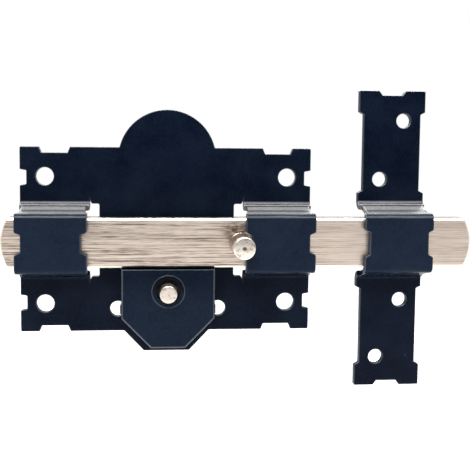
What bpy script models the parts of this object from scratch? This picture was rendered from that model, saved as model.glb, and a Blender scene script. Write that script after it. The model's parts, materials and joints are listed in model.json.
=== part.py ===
"""Surface bolt lock: a flat steel bolt slides by its knob through two bridges pressed out of a base plate
and through the bridge of a separate keeper. A push button under the bolt carries a catch plate, whose tooth
rides in a groove of the bolt's lower edge. Pressed in at either end of the travel, the tooth drops into a
pocket and holds the bolt.

Frame: X along the bolt, towards the keeper. Z up. The door face is the plane Y = 0 and the lock stands out
of it towards -Y, so "out" below means the distance from the door face. The origin is on the bolt's centre
line, midway along the base plate.
"""

import math

import bmesh
import bpy
from mathutils import Matrix, Vector

MM = 0.001

# ---- sheet metal and fits ----
PLATE_SHEET = 2.2 * MM
COVER_SHEET = 1.4 * MM
GAP = 0.35 * MM  # between pieces that rest on each other
FIT = 0.3 * MM  # round a pin in its hole
BEND_INSIDE = 0.2 * MM  # radius inside a bend
BEND_STEPS = 5
FOOT_FLAT = 0.2 * MM  # flat sheet between a bridge's bend and the plate it comes out of

# ---- bolt ----
BOLT_THICKNESS = 8.0 * MM
BOLT_HEIGHT = 18.4 * MM
BOLT_CHAMFER = 1.3 * MM
BOLT_BACK_CHAMFER = 0.4 * MM
BOLT_END_RADIUS = 19.0 * MM
BOLT_PAST_PLATE = 5.6 * MM  # how far its tail stands out of the base plate
BOLT_PAST_KEEPER = 15.5 * MM  # how far its nose stands out of the keeper

# ---- base plate ----
PLATE_LENGTH = 110.0 * MM
PLATE_TOP = 35.2 * MM
PLATE_BOTTOM = -34.8 * MM
EDGE_RECESS_START = 7.0 * MM  # from the plate's corner
EDGE_RECESS_LENGTH = 11.6 * MM
EDGE_RECESS_DEPTH = 2.2 * MM
RECESS_SLOPE = 0.9 * MM
END_RECESS_Z = 23.7 * MM  # its middle
END_RECESS_HALF = 3.0 * MM
END_RECESS_DEPTH = 2.4 * MM
SCREW_HOLE_RADIUS = 3.35 * MM
SCREW_HOLE_INSET = 9.2 * MM  # from the plate's end
SCREW_HOLE_Z = 24.1 * MM
DOME_RADIUS = 18.5 * MM
DOME_TOP = 49.4 * MM
TONGUE_PAST_COVER = 3.9 * MM
TONGUE_MARGIN = 2.4 * MM  # the tongue's end is this much wider than the cover's, each side
TONGUE_HALF_TOP = 16.2 * MM

# ---- bridges over the bolt ----
BRIDGE_WIDTH = 26.0 * MM
BRIDGE_LEAN = 0.75 * MM  # the front flat's inner corner, inside the bolt's edge
BRIDGE_SPREAD = 2.55 * MM  # the wall's inner face where it meets the foot, outside the bolt's edge
BRIDGE_NOTCH_HALF = 3.3 * MM
BRIDGE_NOTCH_DEPTH = 2.2 * MM
BRIDGE_NOTCH_SLOPE = 0.9 * MM
BRIDGE_WAIST_DEPTH = 1.2 * MM  # the walls are this much narrower at each side
BRIDGE_WAIST_STEP = 0.6 * MM  # from a bend to the slope, and the slope itself
WINDOW_PAST_BRIDGE = 3.45 * MM  # the window in the plate, beside the bridge
WINDOW_RELIEF = 0.5 * MM

# ---- keeper ----
KEEPER_GAP = 18.6 * MM  # between the base plate and the keeper
KEEPER_HALF_WIDTH = 13.0 * MM
KEEPER_WAIST_HALF = 11.2 * MM
KEEPER_HALF_LENGTH = 57.6 * MM
KEEPER_EAR_LENGTH = 9.0 * MM
KEEPER_EAR_SLOPE = 0.9 * MM
KEEPER_EAR_PAST_FOOT = 3.4 * MM
KEEPER_SPREAD = 3.1 * MM  # as the base plate's bridges have it, a little wider
KEEPER_NOTCH_HALF = 4.2 * MM
KEEPER_END_NOTCH = 3.9 * MM  # half width at its bottom
KEEPER_END_NOTCH_MOUTH = 5.2 * MM
KEEPER_END_NOTCH_DEPTH = 1.7 * MM
KEEPER_HOLE_RADIUS = 2.8 * MM
KEEPER_HOLE_STAGGER = 4.5 * MM
KEEPER_OUTER_HOLE = 46.2 * MM
KEEPER_INNER_HOLE = 23.6 * MM

# ---- knob ----
KNOB_RADIUS = 4.0 * MM
KNOB_RISE = 14.4 * MM  # above the bolt's front
KNOB_RING = 1.1 * MM  # height of the ring at its foot
KNOB_NECK = 0.9 * MM  # height of its neck
KNOB_NECK_DEPTH = 0.6 * MM
KNOB_EDGE = 0.5 * MM
KNOB_STUD_RADIUS = 2.2 * MM
KNOB_DIMPLE = 0.6 * MM

# ---- catch ----
CATCH_X = 0.5 * MM  # its middle, beside the plate's
BUTTON_BELOW_BOLT = 8.5 * MM  # button axis, under the bolt's edge
BUTTON_RADIUS = 3.15 * MM
BUTTON_PROUD = 5.3 * MM
BUTTON_FLANGE_RADIUS = 5.0 * MM
BUTTON_FLANGE = 1.1 * MM
SPIGOT_RADIUS = 1.6 * MM
SPIGOT_HEAD = 0.9 * MM  # wider than the spigot
SPIGOT_HEAD_THICKNESS = 0.3 * MM
BUTTON_EDGE = 0.35 * MM
PRESS_TRAVEL = 2.5 * MM
PRESS_SPARE = 0.5 * MM  # left behind the catch when it is pressed
CATCH_SHEET = 2.0 * MM
CATCH_HALF = 6.0 * MM
LEAF_SPACE = 2.8 * MM  # between the catch's arm and the cover's wall
CATCH_ARM_TOP = 4.8 * MM  # under the bolt's edge
CATCH_ARM_BOTTOM = 14.8 * MM
CATCH_BOTTOM = 17.0 * MM
CATCH_CORNER = 2.0 * MM
TOOTH_SHOULDER = 1.0 * MM  # where the tooth widens, under the bolt's edge
TOOTH_HALF = 3.0 * MM
TOOTH_REACH = 2.8 * MM  # past the bolt's lower edge
GROOVE_RUN = 0.5 * MM  # groove past the tooth at each end of the travel
PIN_INSET = 3.0 * MM  # from the end of the catch's arm
PIN_RADIUS = 1.3 * MM
PIN_SHOULDER = 1.0 * MM  # wider than the pin
PIN_SHOULDER_THICKNESS = 0.45 * MM
PIN_GROOVE = 0.45 * MM
PIN_END_CHAMFER = 0.3 * MM
CLIP_SHEET = 0.5 * MM
CLIP_WIDTH = 1.5 * MM
CLIP_PLAY = 0.15 * MM  # at each side of a clip in its groove
CLIP_ROOM = 0.2 * MM  # round the groove's bottom
PIN_END_PAST_CLIP = 1.05 * MM
SPRING_WIRE = 0.6 * MM
SPRING_TURNS = 3
LEAF_SHEET = 0.4 * MM
LEAF_BELOW_BOLT = (12.4 * MM, 18.5 * MM)
LEAF_FOOT = 4.4 * MM
LEAF_LIP = (0.5 * MM, 0.8 * MM)  # its bent end: how far aside, and how long
LEAF_PAST_CATCH = 0.4 * MM
RIVET_RADIUS = 0.8 * MM
RIVET_HEAD_RADIUS = 1.5 * MM
RIVET_HEAD = (0.2 * MM, 0.6 * MM, 0.7 * MM)  # heights of its rim, shoulder and top

# ---- cover of the catch ----
COVER_HEADROOM = 1.0 * MM  # over the guide pins
COVER_HALF = 17.2 * MM
COVER_BELOW_BOLT = 0.4 * MM
COVER_STRAIGHT = 18.1 * MM  # from its open top to its lower corners
COVER_LENGTH = 29.2 * MM
COVER_END_HALF = 6.3 * MM
COVER_EDGE = 0.9 * MM
DISH_RADIUS = 6.25 * MM
DISH_DEPTH = 1.2 * MM
BUTTON_HOLE_RADIUS = 4.6 * MM
COLLAR_RADIUS = 6.5 * MM
TAB_BELOW_TOP = 16.7 * MM
TAB_HALF = 1.7 * MM
TAB_SHEET = 1.0 * MM
TAB_HOLE_RADIUS = 2.9 * MM
TAB_HOLE_OFFSET = 1.9 * MM  # hole centre outside the cover's wall

# ---- worked out from the sizes above ----
BEND_RADIUS = BEND_INSIDE + PLATE_SHEET / 2  # to the middle of the sheet
PLATE_HALF = PLATE_LENGTH / 2
BOLT_BACK = PLATE_SHEET + GAP
BOLT_FRONT = BOLT_BACK + BOLT_THICKNESS
BOLT_HALF = BOLT_HEIGHT / 2
BRIDGE_OUTER = BOLT_FRONT + GAP + PLATE_SHEET
BRIDGE_INNER_X = PLATE_HALF - BRIDGE_WIDTH
FRONT_CLEAR = PLATE_SHEET - BRIDGE_LEAN  # outer corner of the front flat, above the bolt's edge
KEEPER_X = PLATE_HALF + KEEPER_GAP + KEEPER_HALF_WIDTH
BOLT_TAIL_X = -PLATE_HALF - BOLT_PAST_PLATE
BOLT_NOSE_X = KEEPER_X + KEEPER_HALF_WIDTH + BOLT_PAST_KEEPER
KNOB_X = BRIDGE_INNER_X + BRIDGE_NOTCH_DEPTH - GAP - KNOB_RADIUS  # it stops in the bridge's notch
BOLT_TRAVEL = 2 * KNOB_X
BUTTON_Z = -BOLT_HALF - BUTTON_BELOW_BOLT
CATCH_BACK = BOLT_BACK + PRESS_TRAVEL + PRESS_SPARE + GAP
CATCH_FRONT = CATCH_BACK + CATCH_SHEET
TOOTH_TOP = -BOLT_HALF + TOOTH_REACH
CLIP_BACK = CATCH_FRONT + GAP
PIN_END = CLIP_BACK + CLIP_SHEET + PIN_END_PAST_CLIP
COVER_INNER = PIN_END + COVER_HEADROOM
COVER_FRONT = COVER_INNER + COVER_SHEET
FLANGE_BACK = CATCH_FRONT + GAP
FLANGE_FRONT = FLANGE_BACK + BUTTON_FLANGE
COLLAR_BACK = FLANGE_FRONT + GAP
COVER_TOP = -BOLT_HALF - COVER_BELOW_BOLT
COVER_CORNER_Z = COVER_TOP - COVER_STRAIGHT
COVER_BOTTOM = COVER_TOP - COVER_LENGTH
TAB_Z = COVER_TOP - TAB_BELOW_TOP
CATCH_ARM_HALF = COVER_HALF - COVER_SHEET - LEAF_SPACE
PIN_X = CATCH_ARM_HALF - PIN_INSET
LEAF_X = CATCH_X + CATCH_ARM_HALF + GAP
LEAF_TOP = -BOLT_HALF - LEAF_BELOW_BOLT[0]
LEAF_BOTTOM = -BOLT_HALF - LEAF_BELOW_BOLT[1]
LEAF_RIVET_X = LEAF_X - LEAF_FOOT / 2
LEAF_RIVET_Z = -BOLT_HALF - CATCH_ARM_BOTTOM - RIVET_HEAD_RADIUS - GAP

ROUND_STEPS = 32
PAST = 1.0 * MM  # how far a cutter runs past what it cuts
SAME = 0.001 * MM


# ---- materials ----
def paint(name, colour, roughness, metallic):
    material = bpy.data.materials.new(name)
    material.use_nodes = True
    shader = material.node_tree.nodes["Principled BSDF"]
    shader.inputs["Base Color"].default_value = (*colour, 1.0)
    shader.inputs["Roughness"].default_value = roughness
    shader.inputs["Metallic"].default_value = metallic
    return material


# ---- outlines ----
def arc(centre, radius, start, end, steps):
    """Points of an arc from start to end degrees, ends included."""
    turns = [math.radians(start + (end - start) * i / steps) for i in range(steps + 1)]
    return [(centre[0] + radius * math.cos(t), centre[1] + radius * math.sin(t)) for t in turns]


def mirrored(points):
    """The points, then their mirror images across the outline's first axis, in reverse order."""
    return points + [(-a, b) for a, b in reversed(points)]


def rounded(points, radius, steps=BEND_STEPS):
    """An open path with each inner corner replaced by an arc of that radius."""
    path = [points[0]]
    for before, corner, after in zip(points, points[1:], points[2:]):
        here = Vector(corner)
        to_before = (Vector(before) - here).normalized()
        to_after = (Vector(after) - here).normalized()
        half = to_before.angle(to_after) / 2
        centre = here + (to_before + to_after).normalized() * radius / math.sin(half)
        first = here + to_before * radius / math.tan(half) - centre
        last = here + to_after * radius / math.tan(half) - centre
        for i in range(steps + 1):
            direction = first.lerp(last, i / steps).normalized()
            path.append(tuple(centre + direction * radius))
    path.append(points[-1])
    return path


# ---- solids ----
def new_object(name, bm, material=None):
    bmesh.ops.recalc_face_normals(bm, faces=bm.faces)
    mesh = bpy.data.meshes.new(name)
    bm.to_mesh(mesh)
    bm.free()
    obj = bpy.data.objects.new(name, mesh)
    bpy.context.scene.collection.objects.link(obj)
    if material:
        mesh.materials.append(material)
        mesh.shade_smooth()
        mesh.set_sharp_from_angle(angle=math.radians(30))
    return obj


def extruded(corners, along):
    """A prism: the polygon through those points, swept along a vector."""
    bm = bmesh.new()
    face = bm.faces.new([bm.verts.new(c) for c in corners])
    swept = bmesh.ops.extrude_face_region(bm, geom=[face])["geom"]
    bmesh.ops.translate(bm, verts=[v for v in swept if isinstance(v, bmesh.types.BMVert)], vec=along)
    return bm


def facing(outline, back, front):
    """A prism whose (x, z) outline is seen from the front, between two distances from the door."""
    return extruded([(x, -back, z) for x, z in outline], (0, back - front, 0))


def box(low_x, high_x, low_z, high_z, back, front):
    return facing([(low_x, low_z), (high_x, low_z), (high_x, high_z), (low_x, high_z)], back, front)


def turned(profile, x, z, steps=ROUND_STEPS):
    """A lathe-turned solid on an axis along Y. The profile is (radius, out), from end to end of the axis."""
    bm = bmesh.new()
    verts = [bm.verts.new((x + radius, -out, z)) for radius, out in profile]
    edges = [bm.edges.new(pair) for pair in zip(verts, verts[1:])]
    bmesh.ops.spin(bm, geom=verts + edges, cent=(x, 0, z), axis=(0, 1, 0), angle=math.tau, steps=steps)
    bmesh.ops.remove_doubles(bm, verts=bm.verts, dist=SAME)
    return bm


def hole(x, z, radius, back=-PAST, front=PLATE_SHEET + PAST, steps=ROUND_STEPS):
    """A cutter along Y."""
    return turned([(0, back), (radius, back), (radius, front), (0, front)], x, z, steps)


def combine(obj, operation, *shapes):
    """Adds one Boolean to obj for each shape, and keeps the shapes as hidden helpers."""
    for bm in shapes:
        helper = new_object(f"{obj.name}_{operation.lower()}_{len(obj.modifiers)}", bm)
        helper.hide_render = True
        helper.display_type = "WIRE"
        boolean = obj.modifiers.new(helper.name, "BOOLEAN")
        boolean.operation = operation
        boolean.solver = "EXACT"
        boolean.object = helper
    return obj


# ---- bridges ----
def bridge_path(spread):
    """The middle of a bridge's sheet from its centre to the end of one foot, as (z, out)."""
    middle = PLATE_SHEET / 2
    foot_clear = PLATE_SHEET + spread
    slope = math.atan2(BRIDGE_OUTER - PLATE_SHEET, foot_clear - FRONT_CLEAR)
    inset = middle * math.tan(slope / 2)
    foot_z = BOLT_HALF + foot_clear - inset
    front_z = BOLT_HALF + FRONT_CLEAR - inset
    end_z = foot_z + BEND_RADIUS * math.tan(slope / 2) + FOOT_FLAT
    front = BRIDGE_OUTER - middle
    return rounded([(0, front), (front_z, front), (foot_z, middle), (end_z, middle)], BEND_RADIUS)


def along(path):
    """The length of the path up to each of its points."""
    total = [0.0]
    for before, after in zip(path, path[1:]):
        total.append(total[-1] + math.dist(before, after))
    return total


def value_at(steps, place):
    """Straight-line interpolation in (place, value) steps."""
    for (low, first), (high, last) in zip(steps, steps[1:]):
        if place <= high:
            return first + (last - first) * max(0.0, place - low) / (high - low)
    return steps[-1][1]


def point_at(path, lengths, place):
    """The path's point at that length, and the direction out of its front."""
    i = max(k for k in range(len(path) - 1) if lengths[k] <= place + SAME)
    share = min(1.0, (place - lengths[i]) / (lengths[i + 1] - lengths[i]))
    here = Vector(path[i]).lerp(Vector(path[i + 1]), share)
    step = Vector(path[i + 1]) - Vector(path[i])
    if share * step.length < SAME and i > 0:
        step = step.normalized() + (Vector(path[i]) - Vector(path[i - 1])).normalized()
    step.normalize()
    return here, Vector((-step.y, step.x))


def strip(path, widths, centre_x):
    """A bent sheet along the path and its mirror image below it. Widths are steps of (length from the middle,
    half width). Its two ends are left open."""
    lengths = along(path)
    places = sorted({round(p, 9) for p in lengths + [w for w, _ in widths]})
    places = [p for p, q in zip(places, places[1:] + [1.0]) if q - p > SAME]
    bm = bmesh.new()
    rings = []
    for sign, stops in ((-1, reversed(places[1:])), (1, places)):
        for place in stops:
            here, outward = point_at(path, lengths, place)
            half = value_at(widths, place)
            inner, outer = here - outward * PLATE_SHEET / 2, here + outward * PLATE_SHEET / 2
            corners = [(-half, inner), (half, inner), (half, outer), (-half, outer)]
            rings.append([bm.verts.new((centre_x + x, -p.y, sign * p.x)) for x, p in corners])
    for first, last in zip(rings, rings[1:]):
        for k in range(4):
            bm.faces.new([first[k], first[(k + 1) % 4], last[(k + 1) % 4], last[k]])
    return bm, rings[0], rings[-1]


def wall_waist(path, half_width, waist_half):
    """The steps in a bridge's width: it narrows past the front bend, and widens again before the foot."""
    lengths = along(path)
    wall_start, wall_end = lengths[1 + BEND_STEPS], lengths[2 + BEND_STEPS]
    return [
        (wall_start + BRIDGE_WAIST_STEP, half_width),
        (wall_start + 2 * BRIDGE_WAIST_STEP, waist_half),
        (wall_end - 2 * BRIDGE_WAIST_STEP, waist_half),
        (wall_end - BRIDGE_WAIST_STEP, half_width),
    ]


# ---- base plate ----
def plate_outline(foot_z):
    """The base plate from the front: its right half from the dome's top to the tongue, then mirrored."""
    dome_z = DOME_TOP - DOME_RADIUS
    dome_foot = math.degrees(math.asin((PLATE_TOP - dome_z) / DOME_RADIUS))
    near = PLATE_HALF - EDGE_RECESS_START
    far = near - EDGE_RECESS_LENGTH
    deep = PLATE_HALF - END_RECESS_DEPTH
    window_x = BRIDGE_INNER_X - WINDOW_PAST_BRIDGE
    window_z = foot_z - WINDOW_RELIEF

    def side(edge, depth, sign):
        recess = END_RECESS_Z * sign
        step = END_RECESS_HALF * sign
        slope = RECESS_SLOPE / 2 * sign
        return [
            (far, edge),
            (far + RECESS_SLOPE, edge - depth),
            (near - RECESS_SLOPE, edge - depth),
            (near, edge),
            (PLATE_HALF, edge),
            (PLATE_HALF, recess + step),
            (deep, recess + step - slope),
            (deep, recess - step + slope),
            (PLATE_HALF, recess - step),
            (PLATE_HALF, foot_z * sign),
            (BRIDGE_INNER_X, foot_z * sign),
            (BRIDGE_INNER_X - 2 * WINDOW_RELIEF, window_z * sign),
            (window_x, window_z * sign),
        ]

    tongue_end = (COVER_END_HALF + TONGUE_MARGIN, COVER_BOTTOM - TONGUE_PAST_COVER)
    dome = arc((0, dome_z), DOME_RADIUS, 90, dome_foot, 20)[1:]
    lower = list(reversed(side(PLATE_BOTTOM, -EDGE_RECESS_DEPTH, -1)))
    tongue = [(TONGUE_HALF_TOP, PLATE_BOTTOM), tongue_end]
    right = dome + side(PLATE_TOP, EDGE_RECESS_DEPTH, 1) + lower + tongue
    return [(0, DOME_TOP)] + mirrored(right)


def make_base_plate(material):
    path = bridge_path(BRIDGE_SPREAD)
    foot_z = path[-1][0]
    bm = facing(plate_outline(foot_z), 0, PLATE_SHEET)
    seats = [
        f
        for f in bm.faces
        if all(abs(abs(v.co.z) - foot_z) < SAME and abs(v.co.x) > BRIDGE_INNER_X - SAME for v in f.verts)
    ]
    bmesh.ops.delete(bm, geom=seats, context="FACES")
    half = BRIDGE_WIDTH / 2
    narrow = half - BRIDGE_NOTCH_DEPTH
    widths = [(0, narrow), (BRIDGE_NOTCH_HALF, narrow), (BRIDGE_NOTCH_HALF + BRIDGE_NOTCH_SLOPE, half)]
    widths += wall_waist(path, half, half - BRIDGE_WAIST_DEPTH) + [(along(path)[-1], half)]
    joined = bpy.data.meshes.new("bridge")
    for side in (-1, 1):
        bridge = strip(path, widths, side * (PLATE_HALF - half))[0]
        bridge.to_mesh(joined)
        bridge.free()
        bm.from_mesh(joined)
    bpy.data.meshes.remove(joined)
    bmesh.ops.remove_doubles(bm, verts=bm.verts, dist=0.01 * MM)
    plate = new_object("base_plate", bm, material)
    for side in (-1, 1):
        for level in (-1, 1):
            x, z = side * (PLATE_HALF - SCREW_HOLE_INSET), level * SCREW_HOLE_Z
            combine(plate, "DIFFERENCE", hole(x, z, SCREW_HOLE_RADIUS))
        tab_hole_x = CATCH_X + side * (COVER_HALF + TAB_HOLE_OFFSET)
        combine(plate, "DIFFERENCE", hole(tab_hole_x, TAB_Z, TAB_HOLE_RADIUS))
        combine(plate, "DIFFERENCE", hole(CATCH_X + side * PIN_X, BUTTON_Z, PIN_RADIUS + FIT, steps=20))
    return combine(plate, "DIFFERENCE", hole(LEAF_RIVET_X, LEAF_RIVET_Z, RIVET_RADIUS + FIT, steps=16))


# ---- keeper ----
def make_keeper(material):
    """A strip with wider ends, a wider middle, and a bridge like the base plate's."""
    path = bridge_path(KEEPER_SPREAD)
    foot_z = path[-1][0]
    path[-1] = (KEEPER_HALF_LENGTH, PLATE_SHEET / 2)
    extra = along(path)[-1] - KEEPER_HALF_LENGTH  # sheet taken up by the bridge, each side
    wide, narrow = KEEPER_HALF_WIDTH, KEEPER_WAIST_HALF
    ear = foot_z + KEEPER_EAR_PAST_FOOT + extra
    end = KEEPER_HALF_LENGTH + extra
    widths = [(0, narrow), (KEEPER_NOTCH_HALF, narrow), (KEEPER_NOTCH_HALF + KEEPER_EAR_SLOPE, wide)]
    widths += wall_waist(path, wide, wide - BRIDGE_WAIST_DEPTH)
    widths += [
        (ear, wide),
        (ear + KEEPER_EAR_SLOPE, narrow),
        (end - KEEPER_EAR_LENGTH, narrow),
        (end - KEEPER_EAR_LENGTH + KEEPER_EAR_SLOPE, wide),
        (end, wide),
    ]
    bm, low_end, high_end = strip(path, widths, KEEPER_X)
    bm.faces.new(low_end)
    bm.faces.new(high_end)
    keeper = new_object("keeper", bm, material)
    for sign in (-1, 1):
        mouth = KEEPER_END_NOTCH_MOUTH - KEEPER_END_NOTCH
        past = KEEPER_END_NOTCH_MOUTH + mouth * PAST / KEEPER_END_NOTCH_DEPTH
        bottom = KEEPER_HALF_LENGTH - KEEPER_END_NOTCH_DEPTH
        notch = mirrored([(KEEPER_END_NOTCH, bottom), (past, KEEPER_HALF_LENGTH + PAST)])
        notch = [(KEEPER_X + x, sign * z) for x, z in notch]
        combine(keeper, "DIFFERENCE", facing(notch, -PAST, PLATE_SHEET + PAST))
    for z in (KEEPER_OUTER_HOLE, -KEEPER_INNER_HOLE):
        for x, level in ((KEEPER_X + KEEPER_HOLE_STAGGER, z), (KEEPER_X - KEEPER_HOLE_STAGGER, -z)):
            combine(keeper, "DIFFERENCE", hole(x, level, KEEPER_HOLE_RADIUS))
    return keeper


# ---- bolt and knob ----
def make_bolt(material):
    rise = math.degrees(math.asin(BOLT_HALF / BOLT_END_RADIUS))
    nose = arc((BOLT_NOSE_X - BOLT_END_RADIUS, 0), BOLT_END_RADIUS, -rise, rise, 14)
    tail = arc((BOLT_TAIL_X + BOLT_END_RADIUS, 0), BOLT_END_RADIUS, 180 - rise, 180 + rise, 14)
    bm = facing(nose + tail, BOLT_BACK, BOLT_FRONT)
    for out, width in ((BOLT_FRONT, BOLT_CHAMFER), (BOLT_BACK, BOLT_BACK_CHAMFER)):
        rim = [e for e in bm.edges if all(abs(v.co.y + out) < SAME for v in e.verts)]
        bmesh.ops.bevel(bm, geom=rim, offset=width, segments=1, affect="EDGES")
    bolt = new_object("sliding_bolt", bm, material)
    half = TOOTH_HALF + FIT
    end = TOOTH_HALF + GROOVE_RUN
    groove = (CATCH_X - end, CATCH_X + BOLT_TRAVEL + end, -BOLT_HALF - PAST, TOOTH_TOP + GAP)
    combine(bolt, "DIFFERENCE", box(*groove, CATCH_BACK - GAP, CATCH_FRONT + GAP))
    for x in (CATCH_X, CATCH_X + BOLT_TRAVEL):
        pocket = (x - half, x + half, -BOLT_HALF - PAST, TOOTH_TOP + GAP / 2)
        combine(bolt, "DIFFERENCE", box(*pocket, BOLT_BACK - PAST, CATCH_BACK))
    return combine(bolt, "DIFFERENCE", hole(KNOB_X, 0, KNOB_STUD_RADIUS + FIT, front=BOLT_FRONT + PAST))


def make_knob(material):
    """A turned knob with a ring at its foot, a neck and a slightly domed head with a centre mark."""
    front = BOLT_FRONT + KNOB_RISE
    seat = BOLT_FRONT + GAP
    neck_radius = KNOB_RADIUS - KNOB_NECK_DEPTH
    neck_low = seat + KNOB_RING + KNOB_NECK_DEPTH / 2
    neck_high = neck_low + KNOB_NECK
    profile = [
        (0, BOLT_BACK + GAP),
        (KNOB_STUD_RADIUS, BOLT_BACK + GAP),
        (KNOB_STUD_RADIUS, seat),
        (KNOB_RADIUS, seat),
        (KNOB_RADIUS, seat + KNOB_RING),
        (neck_radius, neck_low),
        (neck_radius, neck_high),
        (KNOB_RADIUS, neck_high + KNOB_NECK_DEPTH),
        *arc((KNOB_RADIUS - KNOB_EDGE, front - 1.5 * KNOB_EDGE), KNOB_EDGE, 0, 80, 4),
        (KNOB_RADIUS / 2, front - 0.15 * KNOB_EDGE),
        (KNOB_DIMPLE, front),
        (0, front - KNOB_DIMPLE),
    ]
    return new_object("bolt_knob", turned(profile, KNOB_X, 0), material)


# ---- cover ----
def cover_outline(inset, past_top):
    """The cover seen from the front, with its walls moved in by inset and its open top raised by past_top."""
    run, fall = COVER_HALF - COVER_END_HALF, COVER_CORNER_Z - COVER_BOTTOM
    slope = math.atan2(fall, run)
    right = [
        (COVER_HALF - inset, COVER_TOP + past_top),
        (COVER_HALF - inset, COVER_CORNER_Z + inset * math.tan((math.pi / 2 - slope) / 2)),
        (COVER_END_HALF - inset * math.tan(slope / 2), COVER_BOTTOM + inset),
    ]
    return [(CATCH_X + x, z) for x, z in mirrored(right)]


def make_cover(material):
    back = PLATE_SHEET + GAP
    bm = facing(cover_outline(0, 0), back, COVER_FRONT)
    rim = []
    for edge in bm.edges:
        at_front = all(abs(v.co.y + COVER_FRONT) < SAME for v in edge.verts)
        at_top = all(abs(v.co.z - COVER_TOP) < SAME for v in edge.verts)
        if at_front and not at_top:
            rim.append(edge)
    bmesh.ops.bevel(bm, geom=rim, offset=COVER_EDGE, segments=3, affect="EDGES", profile=0.5)
    cover = new_object("mechanism_cover", bm, material)
    combine(cover, "DIFFERENCE", facing(cover_outline(COVER_SHEET, PAST), back - PAST, COVER_INNER))
    sunk = COVER_INNER + COVER_SHEET / 2
    collar = [(0, COLLAR_BACK), (COLLAR_RADIUS, COLLAR_BACK), (COLLAR_RADIUS, sunk), (0, sunk)]
    combine(cover, "UNION", turned(collar, CATCH_X, BUTTON_Z))
    flare = (DISH_RADIUS - BUTTON_HOLE_RADIUS) / DISH_DEPTH
    dish = [
        (0, COLLAR_BACK - PAST),
        (BUTTON_HOLE_RADIUS, COLLAR_BACK - PAST),
        (BUTTON_HOLE_RADIUS, COVER_FRONT - DISH_DEPTH),
        (DISH_RADIUS + flare * PAST, COVER_FRONT + PAST),
        (0, COVER_FRONT + PAST),
    ]
    combine(cover, "DIFFERENCE", turned(dish, CATCH_X, BUTTON_Z))
    for side in (-1, 1):
        combine(cover, "UNION", cover_tab(side))
    return cover


def cover_tab(side):
    """A lug that steps out of the cover's wall and reaches into the hole of the base plate."""
    inside = COVER_HALF - COVER_SHEET / 2
    outside = COVER_HALF + TAB_SHEET
    step = PLATE_SHEET + 2 * GAP
    section = [(inside, step), (COVER_HALF, step), (COVER_HALF, GAP), (outside, GAP)]
    section += [(outside, step + PAST), (inside, step + 2 * PAST)]
    corners = [(CATCH_X + side * x, -out, TAB_Z - TAB_HALF) for x, out in section]
    return extruded(corners, (0, 0, 2 * TAB_HALF))


# ---- catch ----
def make_button(material):
    """A turned push button with a flange behind the cover, riveted into the catch plate by its spigot."""
    front = COVER_FRONT + BUTTON_PROUD
    head = SPIGOT_RADIUS + SPIGOT_HEAD
    head_front = CATCH_BACK - FIT
    profile = [
        (0, head_front - SPIGOT_HEAD_THICKNESS),
        (head, head_front - SPIGOT_HEAD_THICKNESS),
        (head, head_front),
        (SPIGOT_RADIUS, head_front),
        (SPIGOT_RADIUS, FLANGE_BACK),
        (BUTTON_FLANGE_RADIUS, FLANGE_BACK),
        (BUTTON_FLANGE_RADIUS, FLANGE_FRONT),
        (BUTTON_RADIUS, FLANGE_FRONT),
        (BUTTON_RADIUS, front - BUTTON_EDGE),
        (BUTTON_RADIUS - BUTTON_EDGE, front),
        (0, front),
    ]
    return new_object("release_button", turned(profile, CATCH_X, BUTTON_Z), material)


def make_catch(material):
    """A stamped plate across the button's axis, with a tooth that reaches into the bolt's groove."""
    edge = -BOLT_HALF
    right = [
        (TOOTH_HALF, TOOTH_TOP),
        (TOOTH_HALF, edge - TOOTH_SHOULDER),
        (CATCH_HALF, edge - TOOTH_SHOULDER),
        (CATCH_HALF, edge - CATCH_ARM_TOP),
        (CATCH_ARM_HALF, edge - CATCH_ARM_TOP),
        (CATCH_ARM_HALF, edge - CATCH_ARM_BOTTOM),
        (CATCH_HALF, edge - CATCH_ARM_BOTTOM),
        (CATCH_HALF - CATCH_CORNER, edge - CATCH_BOTTOM),
    ]
    outline = [(CATCH_X + x, z) for x, z in mirrored(right)]
    catch = new_object("catch_plate", facing(outline, CATCH_BACK, CATCH_FRONT), material)
    for offset, radius in ((-PIN_X, PIN_RADIUS), (PIN_X, PIN_RADIUS), (0, SPIGOT_RADIUS)):
        cutter = hole(CATCH_X + offset, BUTTON_Z, radius + FIT, CATCH_BACK - PAST, CATCH_FRONT + PAST, 20)
        combine(catch, "DIFFERENCE", cutter)
    return catch


def make_guide_pin(name, x, material):
    """A shouldered pin, riveted into the base plate, with a groove for its clip."""
    shoulder = PIN_RADIUS + PIN_SHOULDER
    seat = PLATE_SHEET + FIT
    neck = PIN_RADIUS - PIN_GROOVE
    shoulder_front = seat + PIN_SHOULDER_THICKNESS
    profile = [
        (0, GAP),
        (PIN_RADIUS, GAP),
        (PIN_RADIUS, seat),
        (shoulder, seat),
        (shoulder, shoulder_front),
        (PIN_RADIUS, shoulder_front),
        (PIN_RADIUS, CLIP_BACK - CLIP_PLAY),
        (neck, CLIP_BACK - CLIP_PLAY),
        (neck, CLIP_BACK + CLIP_SHEET + CLIP_PLAY),
        (PIN_RADIUS, CLIP_BACK + CLIP_SHEET + CLIP_PLAY),
        (PIN_RADIUS, PIN_END - PIN_END_CHAMFER),
        (PIN_RADIUS - PIN_END_CHAMFER, PIN_END),
        (0, PIN_END),
    ]
    return new_object(name, turned(profile, x, BUTTON_Z, steps=20), material)


def make_guide_clip(name, x, material):
    """An open retaining ring in a guide pin's groove."""
    inner = PIN_RADIUS - PIN_GROOVE + CLIP_ROOM
    outer = inner + CLIP_WIDTH
    ring = arc((x, BUTTON_Z), outer, -60, 240, 18) + arc((x, BUTTON_Z), inner, 240, -60, 18)
    return new_object(name, facing(ring, CLIP_BACK, CLIP_BACK + CLIP_SHEET), material)


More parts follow.
